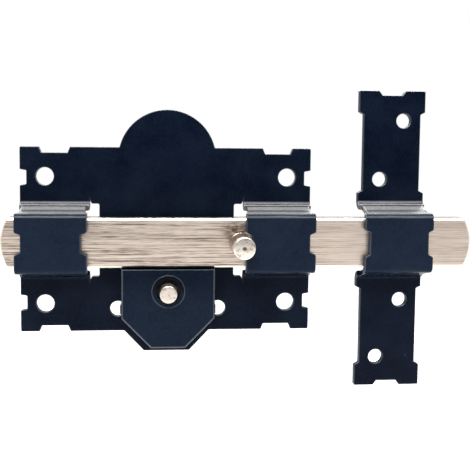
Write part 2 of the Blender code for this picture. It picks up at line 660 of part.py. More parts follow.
def make_spring(material):
    """A conical spring between the base plate and the catch plate, wide end on the base plate."""
    wire = SPRING_WIRE / 2
    low, high = PLATE_SHEET + FIT + wire, CATCH_BACK - FIT - wire
    wide, small = BUTTON_FLANGE_RADIUS, SPIGOT_RADIUS + SPIGOT_HEAD + FIT + wire
    per_turn = 18
    steps = SPRING_TURNS * per_turn
    curve = bpy.data.curves.new("return_spring", "CURVE")
    curve.dimensions = "3D"
    curve.bevel_depth = wire
    curve.bevel_resolution = 1
    curve.use_fill_caps = True
    spline = curve.splines.new("POLY")
    spline.points.add(steps)
    for i, point in enumerate(spline.points):
        turn = math.tau * i / per_turn
        radius = wide + (small - wide) * i / steps
        out = low + (high - low) * i / steps
        point.co = (CATCH_X + radius * math.cos(turn), -out, BUTTON_Z + radius * math.sin(turn), 1)
    curve.materials.append(material)
    spring = bpy.data.objects.new("return_spring", curve)
    bpy.context.scene.collection.objects.link(spring)
    return spring


def make_detent_leaf(material):
    """An angled leaf: a foot on the base plate and a blade that bears on the side of the catch plate."""
    back = PLATE_SHEET + FIT
    top = CATCH_FRONT + LEAF_PAST_CATCH
    aside, lip = LEAF_LIP
    section = [
        (LEAF_X - LEAF_FOOT, back),
        (LEAF_X + LEAF_SHEET, back),
        (LEAF_X + LEAF_SHEET, top - lip),
        (LEAF_X + LEAF_SHEET + aside, top),
        (LEAF_X + aside, top),
        (LEAF_X, top - lip),
        (LEAF_X, back + LEAF_SHEET),
        (LEAF_X - LEAF_FOOT, back + LEAF_SHEET),
    ]
    bm = extruded([(x, -out, LEAF_BOTTOM) for x, out in section], (0, 0, LEAF_TOP - LEAF_BOTTOM))
    leaf = new_object("detent_leaf", bm, material)
    rivet_hole = hole(LEAF_RIVET_X, LEAF_RIVET_Z, RIVET_RADIUS + FIT, front=top, steps=16)
    return combine(leaf, "DIFFERENCE", rivet_hole)


def make_detent_rivet(material):
    seat = PLATE_SHEET + 2 * FIT + LEAF_SHEET
    profile = [(0, GAP), (RIVET_RADIUS, GAP), (RIVET_RADIUS, seat), (RIVET_HEAD_RADIUS, seat)]
    rim, shoulder, top = RIVET_HEAD
    profile += [(RIVET_HEAD_RADIUS, seat + rim), (RIVET_HEAD_RADIUS * 0.6, seat + shoulder), (0, seat + top)]
    return new_object("detent_rivet", turned(profile, LEAF_RIVET_X, LEAF_RIVET_Z, steps=16), material)


# ---- assembly ----
def hang_on(name, place, pieces):
    """Puts an empty on a joint's axis, and the pieces that move with that joint under it."""
    axis = bpy.data.objects.new(name, None)
    axis.location = place
    bpy.context.scene.collection.objects.link(axis)
    for piece in pieces:
        piece.parent = axis
        piece.matrix_parent_inverse = Matrix.Translation(place).inverted()


def main():
    for old in list(bpy.data.objects):
        bpy.data.objects.remove(old)
    enamel = paint("black_enamel", (0.012, 0.018, 0.032), 0.38, 0.0)
    nickel = paint("brushed_nickel", (0.66, 0.6, 0.54), 0.34, 1.0)
    turned_steel = paint("turned_nickel", (0.72, 0.68, 0.62), 0.22, 1.0)
    zinc = paint("zinc_plate", (0.55, 0.56, 0.58), 0.4, 1.0)
    spring_steel = paint("spring_steel", (0.3, 0.3, 0.32), 0.35, 1.0)

    make_base_plate(enamel)
    make_keeper(enamel)
    make_cover(enamel)
    for name, x in (("left", CATCH_X - PIN_X), ("right", CATCH_X + PIN_X)):
        make_guide_pin(f"guide_pin_{name}", x, zinc)
        make_guide_clip(f"guide_clip_{name}", x, spring_steel)
    make_detent_leaf(spring_steel)
    make_detent_rivet(zinc)
    make_spring(spring_steel)
    hang_on("bolt_slide", (0, -BOLT_BACK, 0), [make_bolt(nickel), make_knob(turned_steel)])
    hang_on("button_press", (CATCH_X, -CATCH_BACK, BUTTON_Z), [make_button(turned_steel), make_catch(zinc)])


main()
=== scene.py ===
"""The finished look of a surface bolt lock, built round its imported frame.

X runs along the bolt towards the keeper, Z is up, and "out" is the distance from the door face, towards -Y.
"""

import json
import math

import bmesh
import bpy
from mathutils import Matrix, Vector


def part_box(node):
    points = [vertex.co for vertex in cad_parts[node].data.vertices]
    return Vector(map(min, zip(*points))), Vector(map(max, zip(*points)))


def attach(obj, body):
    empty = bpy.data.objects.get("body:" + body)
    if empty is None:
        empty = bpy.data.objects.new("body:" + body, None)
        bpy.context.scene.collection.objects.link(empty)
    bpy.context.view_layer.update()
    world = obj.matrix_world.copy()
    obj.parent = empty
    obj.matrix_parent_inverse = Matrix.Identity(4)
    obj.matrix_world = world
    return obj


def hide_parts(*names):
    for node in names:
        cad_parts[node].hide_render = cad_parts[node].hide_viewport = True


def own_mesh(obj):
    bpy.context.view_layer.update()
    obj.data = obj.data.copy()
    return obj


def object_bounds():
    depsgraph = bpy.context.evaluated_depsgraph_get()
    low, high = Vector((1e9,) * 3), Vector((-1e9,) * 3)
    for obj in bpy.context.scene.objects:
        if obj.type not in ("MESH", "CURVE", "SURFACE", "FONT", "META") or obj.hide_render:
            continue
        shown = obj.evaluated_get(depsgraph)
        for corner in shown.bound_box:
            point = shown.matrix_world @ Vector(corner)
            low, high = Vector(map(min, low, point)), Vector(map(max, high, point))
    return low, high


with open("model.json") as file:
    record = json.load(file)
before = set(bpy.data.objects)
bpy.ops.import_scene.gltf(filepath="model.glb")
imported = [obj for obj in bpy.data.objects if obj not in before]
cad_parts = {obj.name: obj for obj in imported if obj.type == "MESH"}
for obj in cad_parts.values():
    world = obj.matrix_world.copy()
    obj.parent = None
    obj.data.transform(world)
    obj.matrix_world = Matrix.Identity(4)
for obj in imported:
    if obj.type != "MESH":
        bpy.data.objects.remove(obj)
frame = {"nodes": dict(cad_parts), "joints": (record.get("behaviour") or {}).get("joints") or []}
cad_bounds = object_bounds()

MM = 0.001

# ---- places taken from the frame ----
plate_low, plate_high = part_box("base_plate")
keeper_low, keeper_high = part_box("keeper")
bolt_low, bolt_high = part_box("sliding_bolt")
knob_low, knob_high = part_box("bolt_knob")
cover_low, cover_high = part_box("mechanism_cover")
button_low, button_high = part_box("release_button")
pin_low, pin_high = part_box("guide_pin_left")
clip_low, clip_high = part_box("guide_clip_left")
spring_low, spring_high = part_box("return_spring")

# ---- sheet metal ----
SHEET = 2.2 * MM
COVER_SHEET = 1.4 * MM
GAP = 0.35 * MM
BEND_INSIDE = 0.2 * MM
FOOT_FLAT = 0.2 * MM
FOOT_BEND_INSIDE = 1.5 * MM  # seen from the front
CORNER = 0.7 * MM  # round of a stamped corner
EDGE_BREAK = 0.3 * MM  # round of a stamped and painted edge
SHARP = math.radians(32)  # edges that turn more than this are broken, or shaded sharp
CORNER_STEPS = 6
WIDTH_STEPS = 4  # at the corners of a bridge's width
BEND_RADIUS = BEND_INSIDE + SHEET / 2
FOOT_BEND_RADIUS = FOOT_BEND_INSIDE + SHEET / 2
BEND_STEPS = 14

# ---- base plate ----
PLATE_HALF = plate_high.x
PLATE_TOP = 35.2 * MM
PLATE_BOTTOM = -34.8 * MM
EDGE_RECESS_START = 7.0 * MM
EDGE_RECESS_LENGTH = 11.6 * MM
EDGE_RECESS_DEPTH = 2.2 * MM
RECESS_SLOPE = 0.9 * MM
END_RECESS_Z = 23.7 * MM
END_RECESS_HALF = 3.0 * MM
END_RECESS_DEPTH = 2.4 * MM
SCREW_HOLE_RADIUS = 3.35 * MM
SCREW_HOLE_INSET = 9.2 * MM
SCREW_HOLE_Z = 24.1 * MM
DOME_RADIUS = 18.5 * MM
TONGUE_HALF_TOP = 16.2 * MM
TONGUE_HALF_END = 8.7 * MM
DOME_STEPS = 48

# ---- bridges ----
BRIDGE_WIDTH = 26.0 * MM
BRIDGE_FRONT_CLEAR = 1.45 * MM
BRIDGE_FOOT_CLEAR = 4.75 * MM
KEEPER_FOOT_CLEAR = 5.3 * MM
NOTCH_HALF = 3.3 * MM
NOTCH_DEPTH = 2.2 * MM
NOTCH_SLOPE = 0.9 * MM
WAIST_DEPTH = 1.2 * MM
WAIST_STEP = 0.6 * MM
WINDOW_PAST_BRIDGE = 3.45 * MM
WINDOW_SLIT = 0.65 * MM
WINDOW_PAST_BOLT = 4.6 * MM
BRIDGE_OUTER = -plate_low.y
BRIDGE_INNER_X = PLATE_HALF - BRIDGE_WIDTH

# ---- keeper ----
KEEPER_X = (keeper_low.x + keeper_high.x) / 2
KEEPER_HALF_WIDTH = (keeper_high.x - keeper_low.x) / 2
KEEPER_HALF_LENGTH = keeper_high.z
KEEPER_WAIST_HALF = 11.2 * MM
KEEPER_NOTCH_HALF = 4.2 * MM
KEEPER_EAR_PAST_BOLT = 9.04 * MM
KEEPER_EAR_LENGTH = 9.0 * MM
KEEPER_END_NOTCH = (3.9 * MM, 5.2 * MM, 1.7 * MM)  # half width at its bottom and mouth, and depth
KEEPER_HOLE_RADIUS = 2.8 * MM
KEEPER_HOLE_STAGGER = 4.5 * MM
KEEPER_OUTER_HOLE = 46.2 * MM
KEEPER_INNER_HOLE = 23.6 * MM

# ---- bolt and knob ----
BOLT_BACK = -bolt_high.y
BOLT_FRONT = -bolt_low.y
BOLT_HALF = bolt_high.z
BOLT_CHAMFER = 0.75 * MM
BOLT_BACK_CHAMFER = 0.4 * MM
BOLT_END_RADIUS = 19.0 * MM
BOLT_END_STEPS = 20
BOLT_BREAK = 0.12 * MM
KNOB_X = (knob_low.x + knob_high.x) / 2
KNOB_RADIUS = (knob_high.x - knob_low.x) / 2
KNOB_FRONT = -knob_low.y
KNOB_STUD_RADIUS = 2.2 * MM
KNOB_RING = 1.1 * MM
KNOB_NECK = 0.9 * MM
KNOB_NECK_DEPTH = 0.6 * MM
KNOB_CROWN = 0.22 * MM  # height of the head's dome
KNOB_CROWN_INSET = 0.6 * MM  # from the head's side
KNOB_DIMPLE = 0.6 * MM
KNOB_UNSHADED_DEPTH = 2.4 * MM  # the depth of its head left free of painted shade
FIT = 0.3 * MM

# ---- catch, cover and button ----
CATCH_X = (cover_low.x + cover_high.x) / 2
TAB_SHEET = 1.0 * MM
COVER_HALF = (cover_high.x - cover_low.x) / 2 - TAB_SHEET
COVER_END_HALF = 6.3 * MM
COVER_TOP = cover_high.z
COVER_BOTTOM = cover_low.z
COVER_CORNER_Z = COVER_TOP - 18.1 * MM
COVER_FRONT = -cover_low.y
COVER_INNER = COVER_FRONT - COVER_SHEET
COVER_EDGE = 0.65 * MM
COVER_CORNER = 1.2 * MM
COVER_BREAK = 0.18 * MM
COVER_SHADE = (4, 15)  # painted shade of the bolt: full at the first depth under its open top and gone at the second, in mm
DISH_RADIUS = 6.0 * MM
DISH_DEPTH = 1.2 * MM
BUTTON_HOLE_RADIUS = 4.6 * MM
COLLAR_RADIUS = 6.5 * MM
TAB_HALF = 1.7 * MM
TAB_Z = COVER_TOP - 16.7 * MM
TAB_HOLE_RADIUS = 2.9 * MM
TAB_HOLE_X = COVER_HALF + 1.9 * MM
BUTTON_Z = (button_low.z + button_high.z) / 2
BUTTON_FRONT = -button_low.y
BUTTON_BACK = -button_high.y
BUTTON_RADIUS = 3.15 * MM
BUTTON_EDGE = 0.35 * MM
FLANGE_RADIUS = (button_high.x - button_low.x) / 2
FLANGE = 1.1 * MM
SPIGOT_RADIUS = 1.6 * MM
SPIGOT_HEAD = (0.9 * MM, 0.3 * MM)  # wider than the spigot, and thickness
CATCH_BACK = -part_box("catch_plate")[1].y
CATCH_FRONT = -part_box("catch_plate")[0].y
TOOTH_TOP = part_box("catch_plate")[1].z
TOOTH_HALF = 3.0 * MM
CATCH_BREAK = 0.15 * MM
GROOVE_RUN = 0.5 * MM
PIN_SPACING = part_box("guide_pin_right")[0].x - pin_low.x
PIN_X = (pin_low.x + pin_high.x) / 2
PIN_RADIUS = 1.3 * MM
PIN_GROOVE = 0.45 * MM
PIN_SHOULDER = 0.45 * MM  # its thickness
CLIP_PLAY = 0.15 * MM
CLIP_ROOM = 0.2 * MM
CLIP_WIDTH = 1.5 * MM
CLIP_OPENING = (240, -60)  # degrees
CLIP_STEPS = 48
CLIP_BREAK = 0.08 * MM
RIVET_X, RIVET_Z = [(a + b) / 2 for a, b in list(zip(*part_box("detent_rivet")))[::2]]
RIVET_RADIUS = 0.8 * MM
SPRING_TURNS = 3
SPRING_WIRE = 0.3 * MM  # its radius
LEAF_BREAK = 0.06 * MM

JOINTS = {joint["name"]: joint for joint in frame["joints"]}
TRAVEL = -JOINTS["bolt_slide"]["range_m"][0]
PAST = 1.0 * MM
SAME = 0.001 * MM
WELD = 0.01 * MM  # points nearer than this become one where two meshes meet
ROUND = 96  # sides of a turned piece
HOLE_ROUND = 48


# ---- nodes ----
MATH, VECTOR_MATH = "ShaderNodeMath", "ShaderNodeVectorMath"
RANGE = "ShaderNodeMapRange"  # inputs in order: value, low, high, and what those two become (0 and 1)
MIX = "ShaderNodeMix"  # as a colour mix, its factor and its two colours are inputs 0, 6 and 7


def srgb(code):
    """A colour written as #rrggbb, in linear light."""
    levels = [int(code[i : i + 2], 16) / 255 for i in (1, 3, 5)]
    return [v / 12.92 if v <= 0.04045 else ((v + 0.055) / 1.055) ** 2.4 for v in levels] + [1.0]


def connect(tree, node, inputs):
    """Sets inputs, in order or by name or number: each to a value, a socket or a node's first live output."""
    for key, value in inputs.items() if isinstance(inputs, dict) else enumerate(inputs):
        if isinstance(value, bpy.types.Node):
            value = next(socket for socket in value.outputs if socket.enabled)
        if isinstance(value, bpy.types.NodeSocket):
            tree.links.new(value, node.inputs[key])
        else:
            node.inputs[key].default_value = value
    return node


def add(tree, kind, inputs=(), **settings):
    """Adds a node with its settings and its inputs."""
    node = tree.nodes.new(kind)
    for name, value in settings.items():
        setattr(node, name, value)
    return connect(tree, node, inputs)


def new_material(name, **constants):
    material = bpy.data.materials.new(name)
    material.use_nodes = True
    tree = material.node_tree
    shader = tree.nodes["Principled BSDF"]
    for key, value in constants.items():
        shader.inputs[key.replace("_", " ").title().replace("Ior", "IOR")].default_value = value
    return material, tree, shader


def space(tree, size, centre=(0, 0, 0)):
    """Object coordinates from a centre, counted in pattern sizes that are in mm (0 leaves an axis out)."""
    scale = [1 / (s * MM) if s else 0 for s in size]
    offset = [-c * s for c, s in zip(centre, scale)]
    where = add(tree, "ShaderNodeTexCoord").outputs["Object"]
    return add(tree, "ShaderNodeMapping", {"Vector": where, "Location": offset, "Scale": scale})


def position(tree):
    """X, the distance from the door, and Z, in mm."""
    return add(tree, "ShaderNodeSeparateXYZ", [space(tree, (1, -1, 1))]).outputs


def distance_from(tree, size, centre):
    return add(tree, VECTOR_MATH, [space(tree, size, centre)], operation="LENGTH")


def mottle(tree, size, detail=2.0, roughness=0.5):
    """A soft random pattern whose spots have that size in mm: one number, or one for each axis."""
    axes = size if isinstance(size, tuple) else (size,) * 3
    pattern = {"Vector": space(tree, axes), "Scale": 1.0, "Detail": detail, "Roughness": roughness}
    return add(tree, "ShaderNodeTexNoise", pattern)


def surface(tree, shader, colour, roughness, relief, depth, strength=1.0):
    """Ends a material: its colour, its roughness, and a relief of that depth in mm."""
    bump = add(tree, "ShaderNodeBump", {"Height": relief, "Distance": depth * MM, "Strength": strength})
    connect(tree, shader, {"Base Color": colour, "Roughness": roughness, "Normal": bump})


# ---- materials ----
FINGER_MARKS = [(-2.1 * MM, -0.55 * MM), (2.2 * MM, 0.0), (1.0 * MM, -0.55 * MM)]  # on the knob's head
WALL_HIGHLIGHT_BANDS = [  # painted highlights and painted shade in bands: place from the foot (0) to the front (1), and colour
    (0.0, "#606164"), (0.035, "#7b7b7d"), (0.05, "#30353d"), (0.075, "#30353d"), (0.11, "#8c8b8a"),
    (0.16, "#898888"), (0.2, "#33383f"), (0.26, "#3a3e45"), (0.31, "#7d7c7b"), (0.54, "#807f7d"),
    (0.61, "#4c4f56"), (0.7, "#505359"), (0.76, "#76777b"), (0.88, "#76777b"), (0.92, "#0f1319"),
    (0.955, "#0f1319"), (0.975, "#676a6f"), (1.0, "#4a4e55"),
]


def painted_wall_highlights(tree, colour):
    """The tops of the bridges: painted highlights and painted shade lie over the walls and bends there in
    pale grey and dark bands, each at its own distance from the door, as a light from above would lay them."""
    foot, front, bolt_edge = SHEET / MM, BRIDGE_OUTER / MM, BOLT_HALF / MM
    _, out, z = position(tree)
    waver = add(tree, RANGE, [mottle(tree, (9.0, 1.5, 1.5)), 0.3, 0.7, -0.12, 0.12])
    share = add(tree, RANGE, [add(tree, MATH, [out, waver]), foot, front])
    highlight_bands = add(tree, "ShaderNodeValToRGB", [share])
    stops = highlight_bands.color_ramp.elements
    stops[0].color, stops[1].color = srgb(WALL_HIGHLIGHT_BANDS[0][1]), srgb(WALL_HIGHLIGHT_BANDS[-1][1])
    for place, code in WALL_HIGHLIGHT_BANDS[1:-1]:
        stops.new(place).color = srgb(code)
    past_foot = add(tree, RANGE, [out, foot + 0.01, foot + 0.08])
    above = add(tree, RANGE, [z, bolt_edge + 0.05, bolt_edge + 0.6])
    behind_front = add(tree, RANGE, [out, front - 0.01, front - 0.15])
    # How strongly the painted highlights show, varied at random, only on the top walls and bends.
    highlit = add(tree, RANGE, [mottle(tree, (2.2, 0.7, 0.7), 3.0), 0.35, 0.65, 0.82, 1.0])
    for mask in (past_foot, above, behind_front):
        highlit = add(tree, MATH, [highlit, mask], operation="MULTIPLY")
    return add(tree, MIX, {0: highlit, 6: colour, 7: highlight_bands.outputs["Color"]}, data_type="RGBA")


def stoved_enamel(name, deep, pale, rough, dry, level, bridged=True, bolt_shade=None):
    """Semi-gloss blue-black enamel, sprayed and stoved on pressed steel: a soft sheen with a fine orange
    peel, a little drift in its blue, and specks of dust under the film. The faces that stood nearest to the
    spray gun are drier, so they are rougher; they are also painted paler as painted light, while the flat of
    the plate stays darker as painted shade. Where two heights in mm are given, that paler tone and roughness
    fade from the first up to the second, as painted shade under the bolt."""
    material, tree, shader = new_material(name, ior=1.5, specular_ior_level=level)
    _, out, z = position(tree)
    # Painted light: faces further out from the door are painted paler, and the flat plate stays darker as
    # painted shade; the same mask makes them rougher.
    raised = add(tree, RANGE, [out, 3.0, 11.0])
    # Painted shade under the bolt: darker towards the cover's open top.
    if bolt_shade:
        below_bolt_shade = add(tree, RANGE, [z, *bolt_shade, 1.0, 0.15])
        raised = add(tree, MATH, [raised, below_bolt_shade], operation="MULTIPLY")
    drift = add(tree, RANGE, [mottle(tree, 14, 3.0), 0.35, 0.65, 0.0, 0.35])
    lift = add(tree, MATH, [raised, 0.6], operation="MULTIPLY")
    shade = add(tree, MATH, [drift, lift])
    colour = add(tree, MIX, {0: shade, 6: srgb(deep), 7: srgb(pale)}, data_type="RGBA")
    grain = add(tree, RANGE, [mottle(tree, 0.75, 2.0, 0.6), 0.42, 0.62])
    strength = add(tree, RANGE, [raised, 0.0, 1.0, 0.16, 0.3])
    grain = add(tree, MATH, [grain, strength], operation="MULTIPLY")
    colour = add(tree, MIX, {0: grain, 6: colour, 7: srgb("#1f3247")}, data_type="RGBA")
    # Painted highlights and painted shade on the tops of the bridges.
    if bridged:
        colour = painted_wall_highlights(tree, colour)
    cells = add(tree, "ShaderNodeTexVoronoi", {"Vector": space(tree, (4.5, 4.5, 4.5)), "Scale": 1.0})
    near = add(tree, MATH, [cells.outputs["Distance"], 0.045], operation="LESS_THAN")
    chosen = add(tree, MATH, [cells.outputs["Color"], 0.62], operation="GREATER_THAN")
    speck = add(tree, MATH, [near, chosen], operation="MULTIPLY")
    dust = add(tree, MATH, [speck, 0.55], operation="MULTIPLY")
    colour = add(tree, MIX, {0: dust, 6: colour, 7: srgb("#6f8494")}, data_type="RGBA")
    patchy = add(tree, RANGE, [mottle(tree, 3.5, 4.0), 0.3, 0.7, -0.05, 0.06])
    film = add(tree, MATH, [patchy, add(tree, RANGE, [raised, 0.0, 1.0, rough, dry])])
    peel = add(tree, MATH, [mottle(tree, 0.8), add(tree, MATH, [speck, 0.6], operation="MULTIPLY")])
    surface(tree, shader, colour, film, peel, 0.02, 0.8)
    return material


def brushed_nickel():
    """Nickel plate on a drawn steel bar, its front and back brushed lengthwise: warm, with long brown
    streaks that thin out towards the nose. Beside the knob it is darkened as the knob's painted shadow and
    reflection, its front chamfers are painted near white as a painted highlight, and its top and bottom
    sides, left as drawn, are painted dark brown as painted shade. The streaks are coarser than a brush leaves
    them, so that they show."""
    material, tree, shader = new_material("brushed_nickel", metallic=1.0)
    x, out, _ = position(tree)
    streak = 0.0
    for size, detail, rough, part in (
        ((34, 0.8, 0.24), 2.0, 0.5, 0.528),
        ((6, 0.5, 0.17), 2.0, 0.6, 0.352),
        ((40, 2.0, 1.4), 2.0, 0.5, 0.12),
    ):
        lines = mottle(tree, size, detail, rough)
        streak = add(tree, MATH, [lines, part, streak], operation="MULTIPLY_ADD")
    plain = add(tree, RANGE, [streak, 0.4, 0.62])
    colour = add(tree, MIX, {0: plain, 6: srgb("#dcc8b8"), 7: srgb("#fff1e4")}, data_type="RGBA")
    rubbed = add(tree, RANGE, [x, 24.0, 62.0, 1.0, 0.22])
    brown = add(tree, RANGE, [streak, 0.51, 0.41, 0.0, 0.9])
    brown = add(tree, MATH, [brown, rubbed], operation="MULTIPLY")
    colour = add(tree, MIX, {0: brown, 6: colour, 7: srgb("#604b3d")}, data_type="RGBA")

    # Painted shadow and reflection of the knob on the bar beside it.
    from_knob = distance_from(tree, (6.5, 0, 4.2), (KNOB_X - 1.0 * MM, 0, 4.9 * MM))
    blotch = add(tree, RANGE, [mottle(tree, (2.6, 1.2, 0.7), 3.0, 0.6), 0.42, 0.56, 0.0, 0.85])
    knob_shade = add(tree, RANGE, [from_knob, 1.1, 0.3])
    knob_shade = add(tree, MATH, [knob_shade, blotch], operation="MULTIPLY")
    colour = add(tree, MIX, {0: knob_shade, 6: colour, 7: srgb("#5d4637")}, data_type="RGBA")

    front, back, chamfer = BOLT_FRONT / MM, BOLT_BACK / MM, BOLT_CHAMFER / MM
    below = add(tree, RANGE, [out, front - chamfer, front - chamfer - 0.3])
    # Painted shade: the top and bottom sides of the bar are painted dark brown.
    side = add(tree, RANGE, [out, back + 0.02, back + 0.3])
    side = add(tree, MATH, [side, below], operation="MULTIPLY")
    tone = add(tree, RANGE, [streak, 0.4, 0.6])
    drawn = add(tree, MIX, {0: tone, 6: srgb("#3d332c"), 7: srgb("#8b7d71")}, data_type="RGBA")
    colour = add(tree, MIX, {0: side, 6: colour, 7: drawn}, data_type="RGBA")
    # Painted highlight: the front chamfers painted near white.
    chamfer_highlight = add(tree, RANGE, [out, front, front - 0.12])
    chamfer_highlight = add(tree, MATH, [chamfer_highlight, below], operation="SUBTRACT")
    colour = add(tree, MIX, {0: chamfer_highlight, 6: colour, 7: srgb("#fff4e8")}, data_type="RGBA")

    film = add(tree, RANGE, [streak, 0.35, 0.65, 0.46, 0.3])
    film = add(tree, MATH, [side, -0.12, film], operation="MULTIPLY_ADD")
    surface(tree, shader, colour, film, streak, 0.03, 0.6)
    return material


def turned_nickel(name, x, z, mark, bright, shade_from, marks=()):
    """Nickel-plated steel off a lathe: bright, with rings round its axis, brown smudges, finger marks at the
    given places from its axis, and a dark centre whose radius is mark, in mm. Where it lies nearer to the
    door than the given depth it is painted brown as painted shade. The rings are coarser than a lathe's, so
    that they show."""
    material, tree, shader = new_material(name, metallic=1.0)
    _, out, _ = position(tree)
    smudge = add(tree, RANGE, [mottle(tree, (2.2, 2.2, 1.3), 3.0, 0.6), 0.53, 0.66, 0.0, 0.5])
    colour = add(tree, MIX, {0: smudge, 6: srgb(bright), 7: srgb("#8f7866")}, data_type="RGBA")
    blot = add(tree, RANGE, [mottle(tree, 0.9), 0.3, 0.6, 0.0, 0.6])
    for mark_x, mark_z in marks:
        away = distance_from(tree, (1, 0, 1), (x + mark_x, 0, z + mark_z))
        touch = add(tree, MATH, [add(tree, RANGE, [away, 1.1, 0.3]), blot], operation="MULTIPLY")
        colour = add(tree, MIX, {0: touch, 6: colour, 7: srgb("#9c8472")}, data_type="RGBA")
    radius = distance_from(tree, (1, 0, 1), (x, 0, z))
    centre = add(tree, RANGE, [radius, mark, mark * 0.6, 0.0, 0.9])
    colour = add(tree, MIX, {0: centre, 6: colour, 7: srgb("#4a382c")}, data_type="RGBA")
    # Painted shade: brown on the parts nearer to the door, the knob's ring and neck and the button's pin down
    # in its hole.
    door_side_shade = add(tree, RANGE, [out, shade_from / MM, shade_from / MM - 1.2, 0.0, 0.75])
    colour = add(tree, MIX, {0: door_side_shade, 6: colour, 7: srgb("#7d6958")}, data_type="RGBA")
    grain = mottle(tree, 0.5, 3.0, 0.6)
    turns = add(tree, MATH, [radius, math.tau / 0.28], operation="MULTIPLY")
    rings = add(tree, MATH, [turns], operation="SINE")
    relief = add(tree, MATH, [rings, 0.08, grain], operation="MULTIPLY_ADD")
    surface(tree, shader, colour, add(tree, RANGE, [grain, 0.3, 0.7, 0.26, 0.38]), relief, 0.004, 0.6)
    return material


def zinc_plate():
    """Bright zinc electroplate with a clear chromate: cool grey with a faint yellow bloom."""
    material, tree, shader = new_material("zinc_plate", metallic=1.0)
    bloom = add(tree, RANGE, [mottle(tree, 3.0, 3.0), 0.4, 0.65])
    colour = add(tree, MIX, {0: bloom, 6: srgb("#c3c8cc"), 7: srgb("#cfc7ae")}, data_type="RGBA")
    grain = mottle(tree, 0.35, 3.0)
    surface(tree, shader, colour, add(tree, RANGE, [grain, 0.3, 0.7, 0.3, 0.45]), grain, 0.008)
    return material


def zinc_in_painted_shade():
    """Zinc plate painted dull brown-grey as painted shade, for the pieces inside the cover: blotched at
    random.
    """
    material, tree, shader = new_material("zinc_in_painted_shade", metallic=1.0)
    thick = add(tree, RANGE, [mottle(tree, 2.4, 4.0, 0.6), 0.35, 0.62])
    colour = add(tree, MIX, {0: thick, 6: srgb("#121315"), 7: srgb("#2e2d2c")}, data_type="RGBA")
    grain = mottle(tree, 0.4, 3.0)
    surface(tree, shader, colour, add(tree, RANGE, [grain, 0.3, 0.7, 0.38, 0.55]), grain, 0.008)
    return material


def spring_steel():
    """Oil-blackened spring steel: dark grey, drawn fine, slightly browned."""
    material, tree, shader = new_material("spring_steel", metallic=1.0)
    tone = add(tree, RANGE, [mottle(tree, 1.6, 4.0), 0.35, 0.65])
    colour = add(tree, MIX, {0: tone, 6: srgb("#5c5d61"), 7: srgb("#77706a")}, data_type="RGBA")
    grain = mottle(tree, 0.3)
    surface(tree, shader, colour, add(tree, RANGE, [grain, 0.3, 0.7, 0.3, 0.42]), grain, 0.006)
    return material


def studio_white():
    """Matt pale paper with a glow that only cameras and mirrors see: it looks white but for the lock's
    shadow, and mirrors see half of the glow."""
    material, tree, shader = new_material("studio_white", roughness=0.9, specular_ior_level=0.2)
    path = add(tree, "ShaderNodeLightPath").outputs
    mirrored_glow = add(tree, MATH, [path["Is Glossy Ray"], 0.5], operation="MULTIPLY")
    seen = add(tree, MATH, [path["Is Camera Ray"], mirrored_glow], operation="MAXIMUM")
    seen = add(tree, MATH, [seen, path["Is Transmission Ray"]], operation="MAXIMUM")
    glow = add(tree, MATH, [seen, 0.72], operation="MULTIPLY")
    colours = {"Base Color": srgb("#c8c8c8"), "Emission Color": srgb("#ffffff")}
    connect(tree, shader, {**colours, "Emission Strength": glow})
    return material


# ---- outlines ----
def softened(corners, steps=CORNER_STEPS):
    """The path through (a, b, radius) corners, with an arc at each corner whose radius isn't 0."""
    path = []
    for i, (a, b, radius) in enumerate(corners):
        here = Vector((a, b))
        if not radius:
            path.append((a, b))
            continue
        to_before = (Vector(corners[i - 1][:2]) - here).normalized()
        to_after = (Vector(corners[(i + 1) % len(corners)][:2]) - here).normalized()
        half = to_before.angle(to_after) / 2
        centre = here + (to_before + to_after).normalized() * radius / math.sin(half)
        first = here + to_before * radius / math.tan(half) - centre
        last = here + to_after * radius / math.tan(half) - centre
        path += [tuple(centre + first.slerp(last, k / steps).normalized() * radius) for k in range(steps + 1)]
    return path


def arc(centre, radius, start, end, steps):
    """Points of an arc from start to end degrees, ends included."""
    turns = [math.radians(start + (end - start) * i / steps) for i in range(steps + 1)]
    return [(centre[0] + radius * math.cos(t), centre[1] + radius * math.sin(t)) for t in turns]


def mirrored(points):
    """The points, then their mirror images across the first axis in reverse order."""
    return points + [(-p[0], *p[1:]) for p in reversed(points)]


# ---- meshes ----
def new_piece(name, bm, *materials):
    bmesh.ops.recalc_face_normals(bm, faces=bm.faces)
    mesh = bpy.data.meshes.new(name)
    bm.to_mesh(mesh)
    bm.free()
    for material in materials:
        mesh.materials.append(material)
    piece = bpy.data.objects.new(name, mesh)
    bpy.context.scene.collection.objects.link(piece)
    return piece


def extruded(corners, along):
    """A prism: the polygon through those points, swept along a vector."""
    bm = bmesh.new()
    face = bm.faces.new([bm.verts.new(c) for c in corners])
    swept = bmesh.ops.extrude_face_region(bm, geom=[face])["geom"]
    bmesh.ops.translate(bm, verts=[v for v in swept if isinstance(v, bmesh.types.BMVert)], vec=along)
    return bm


def facing(outline, back, front):
    """A prism whose (x, z) outline is seen from the front, between two distances from the door."""
    return extruded([(x, -back, z) for x, z in outline], (0, back - front, 0))


def turned(profile, x, z, steps=ROUND):
    """A lathe-turned solid on an axis along Y, from (radius, out) points."""
    bm = bmesh.new()
    verts = [bm.verts.new((x + radius, -out, z)) for radius, out in profile]
    edges = [bm.edges.new(pair) for pair in zip(verts, verts[1:])]
    bmesh.ops.spin(bm, geom=verts + edges, cent=(x, 0, z), axis=(0, 1, 0), angle=math.tau, steps=steps)
    bmesh.ops.remove_doubles(bm, verts=bm.verts, dist=SAME)
    return bm


def hole(x, z, radius, front=SHEET + PAST):
    """The cutter of a round hole, from behind the door face to past its front."""
    return turned([(0, -PAST), (radius, -PAST), (radius, front), (0, front)], x, z, HOLE_ROUND)


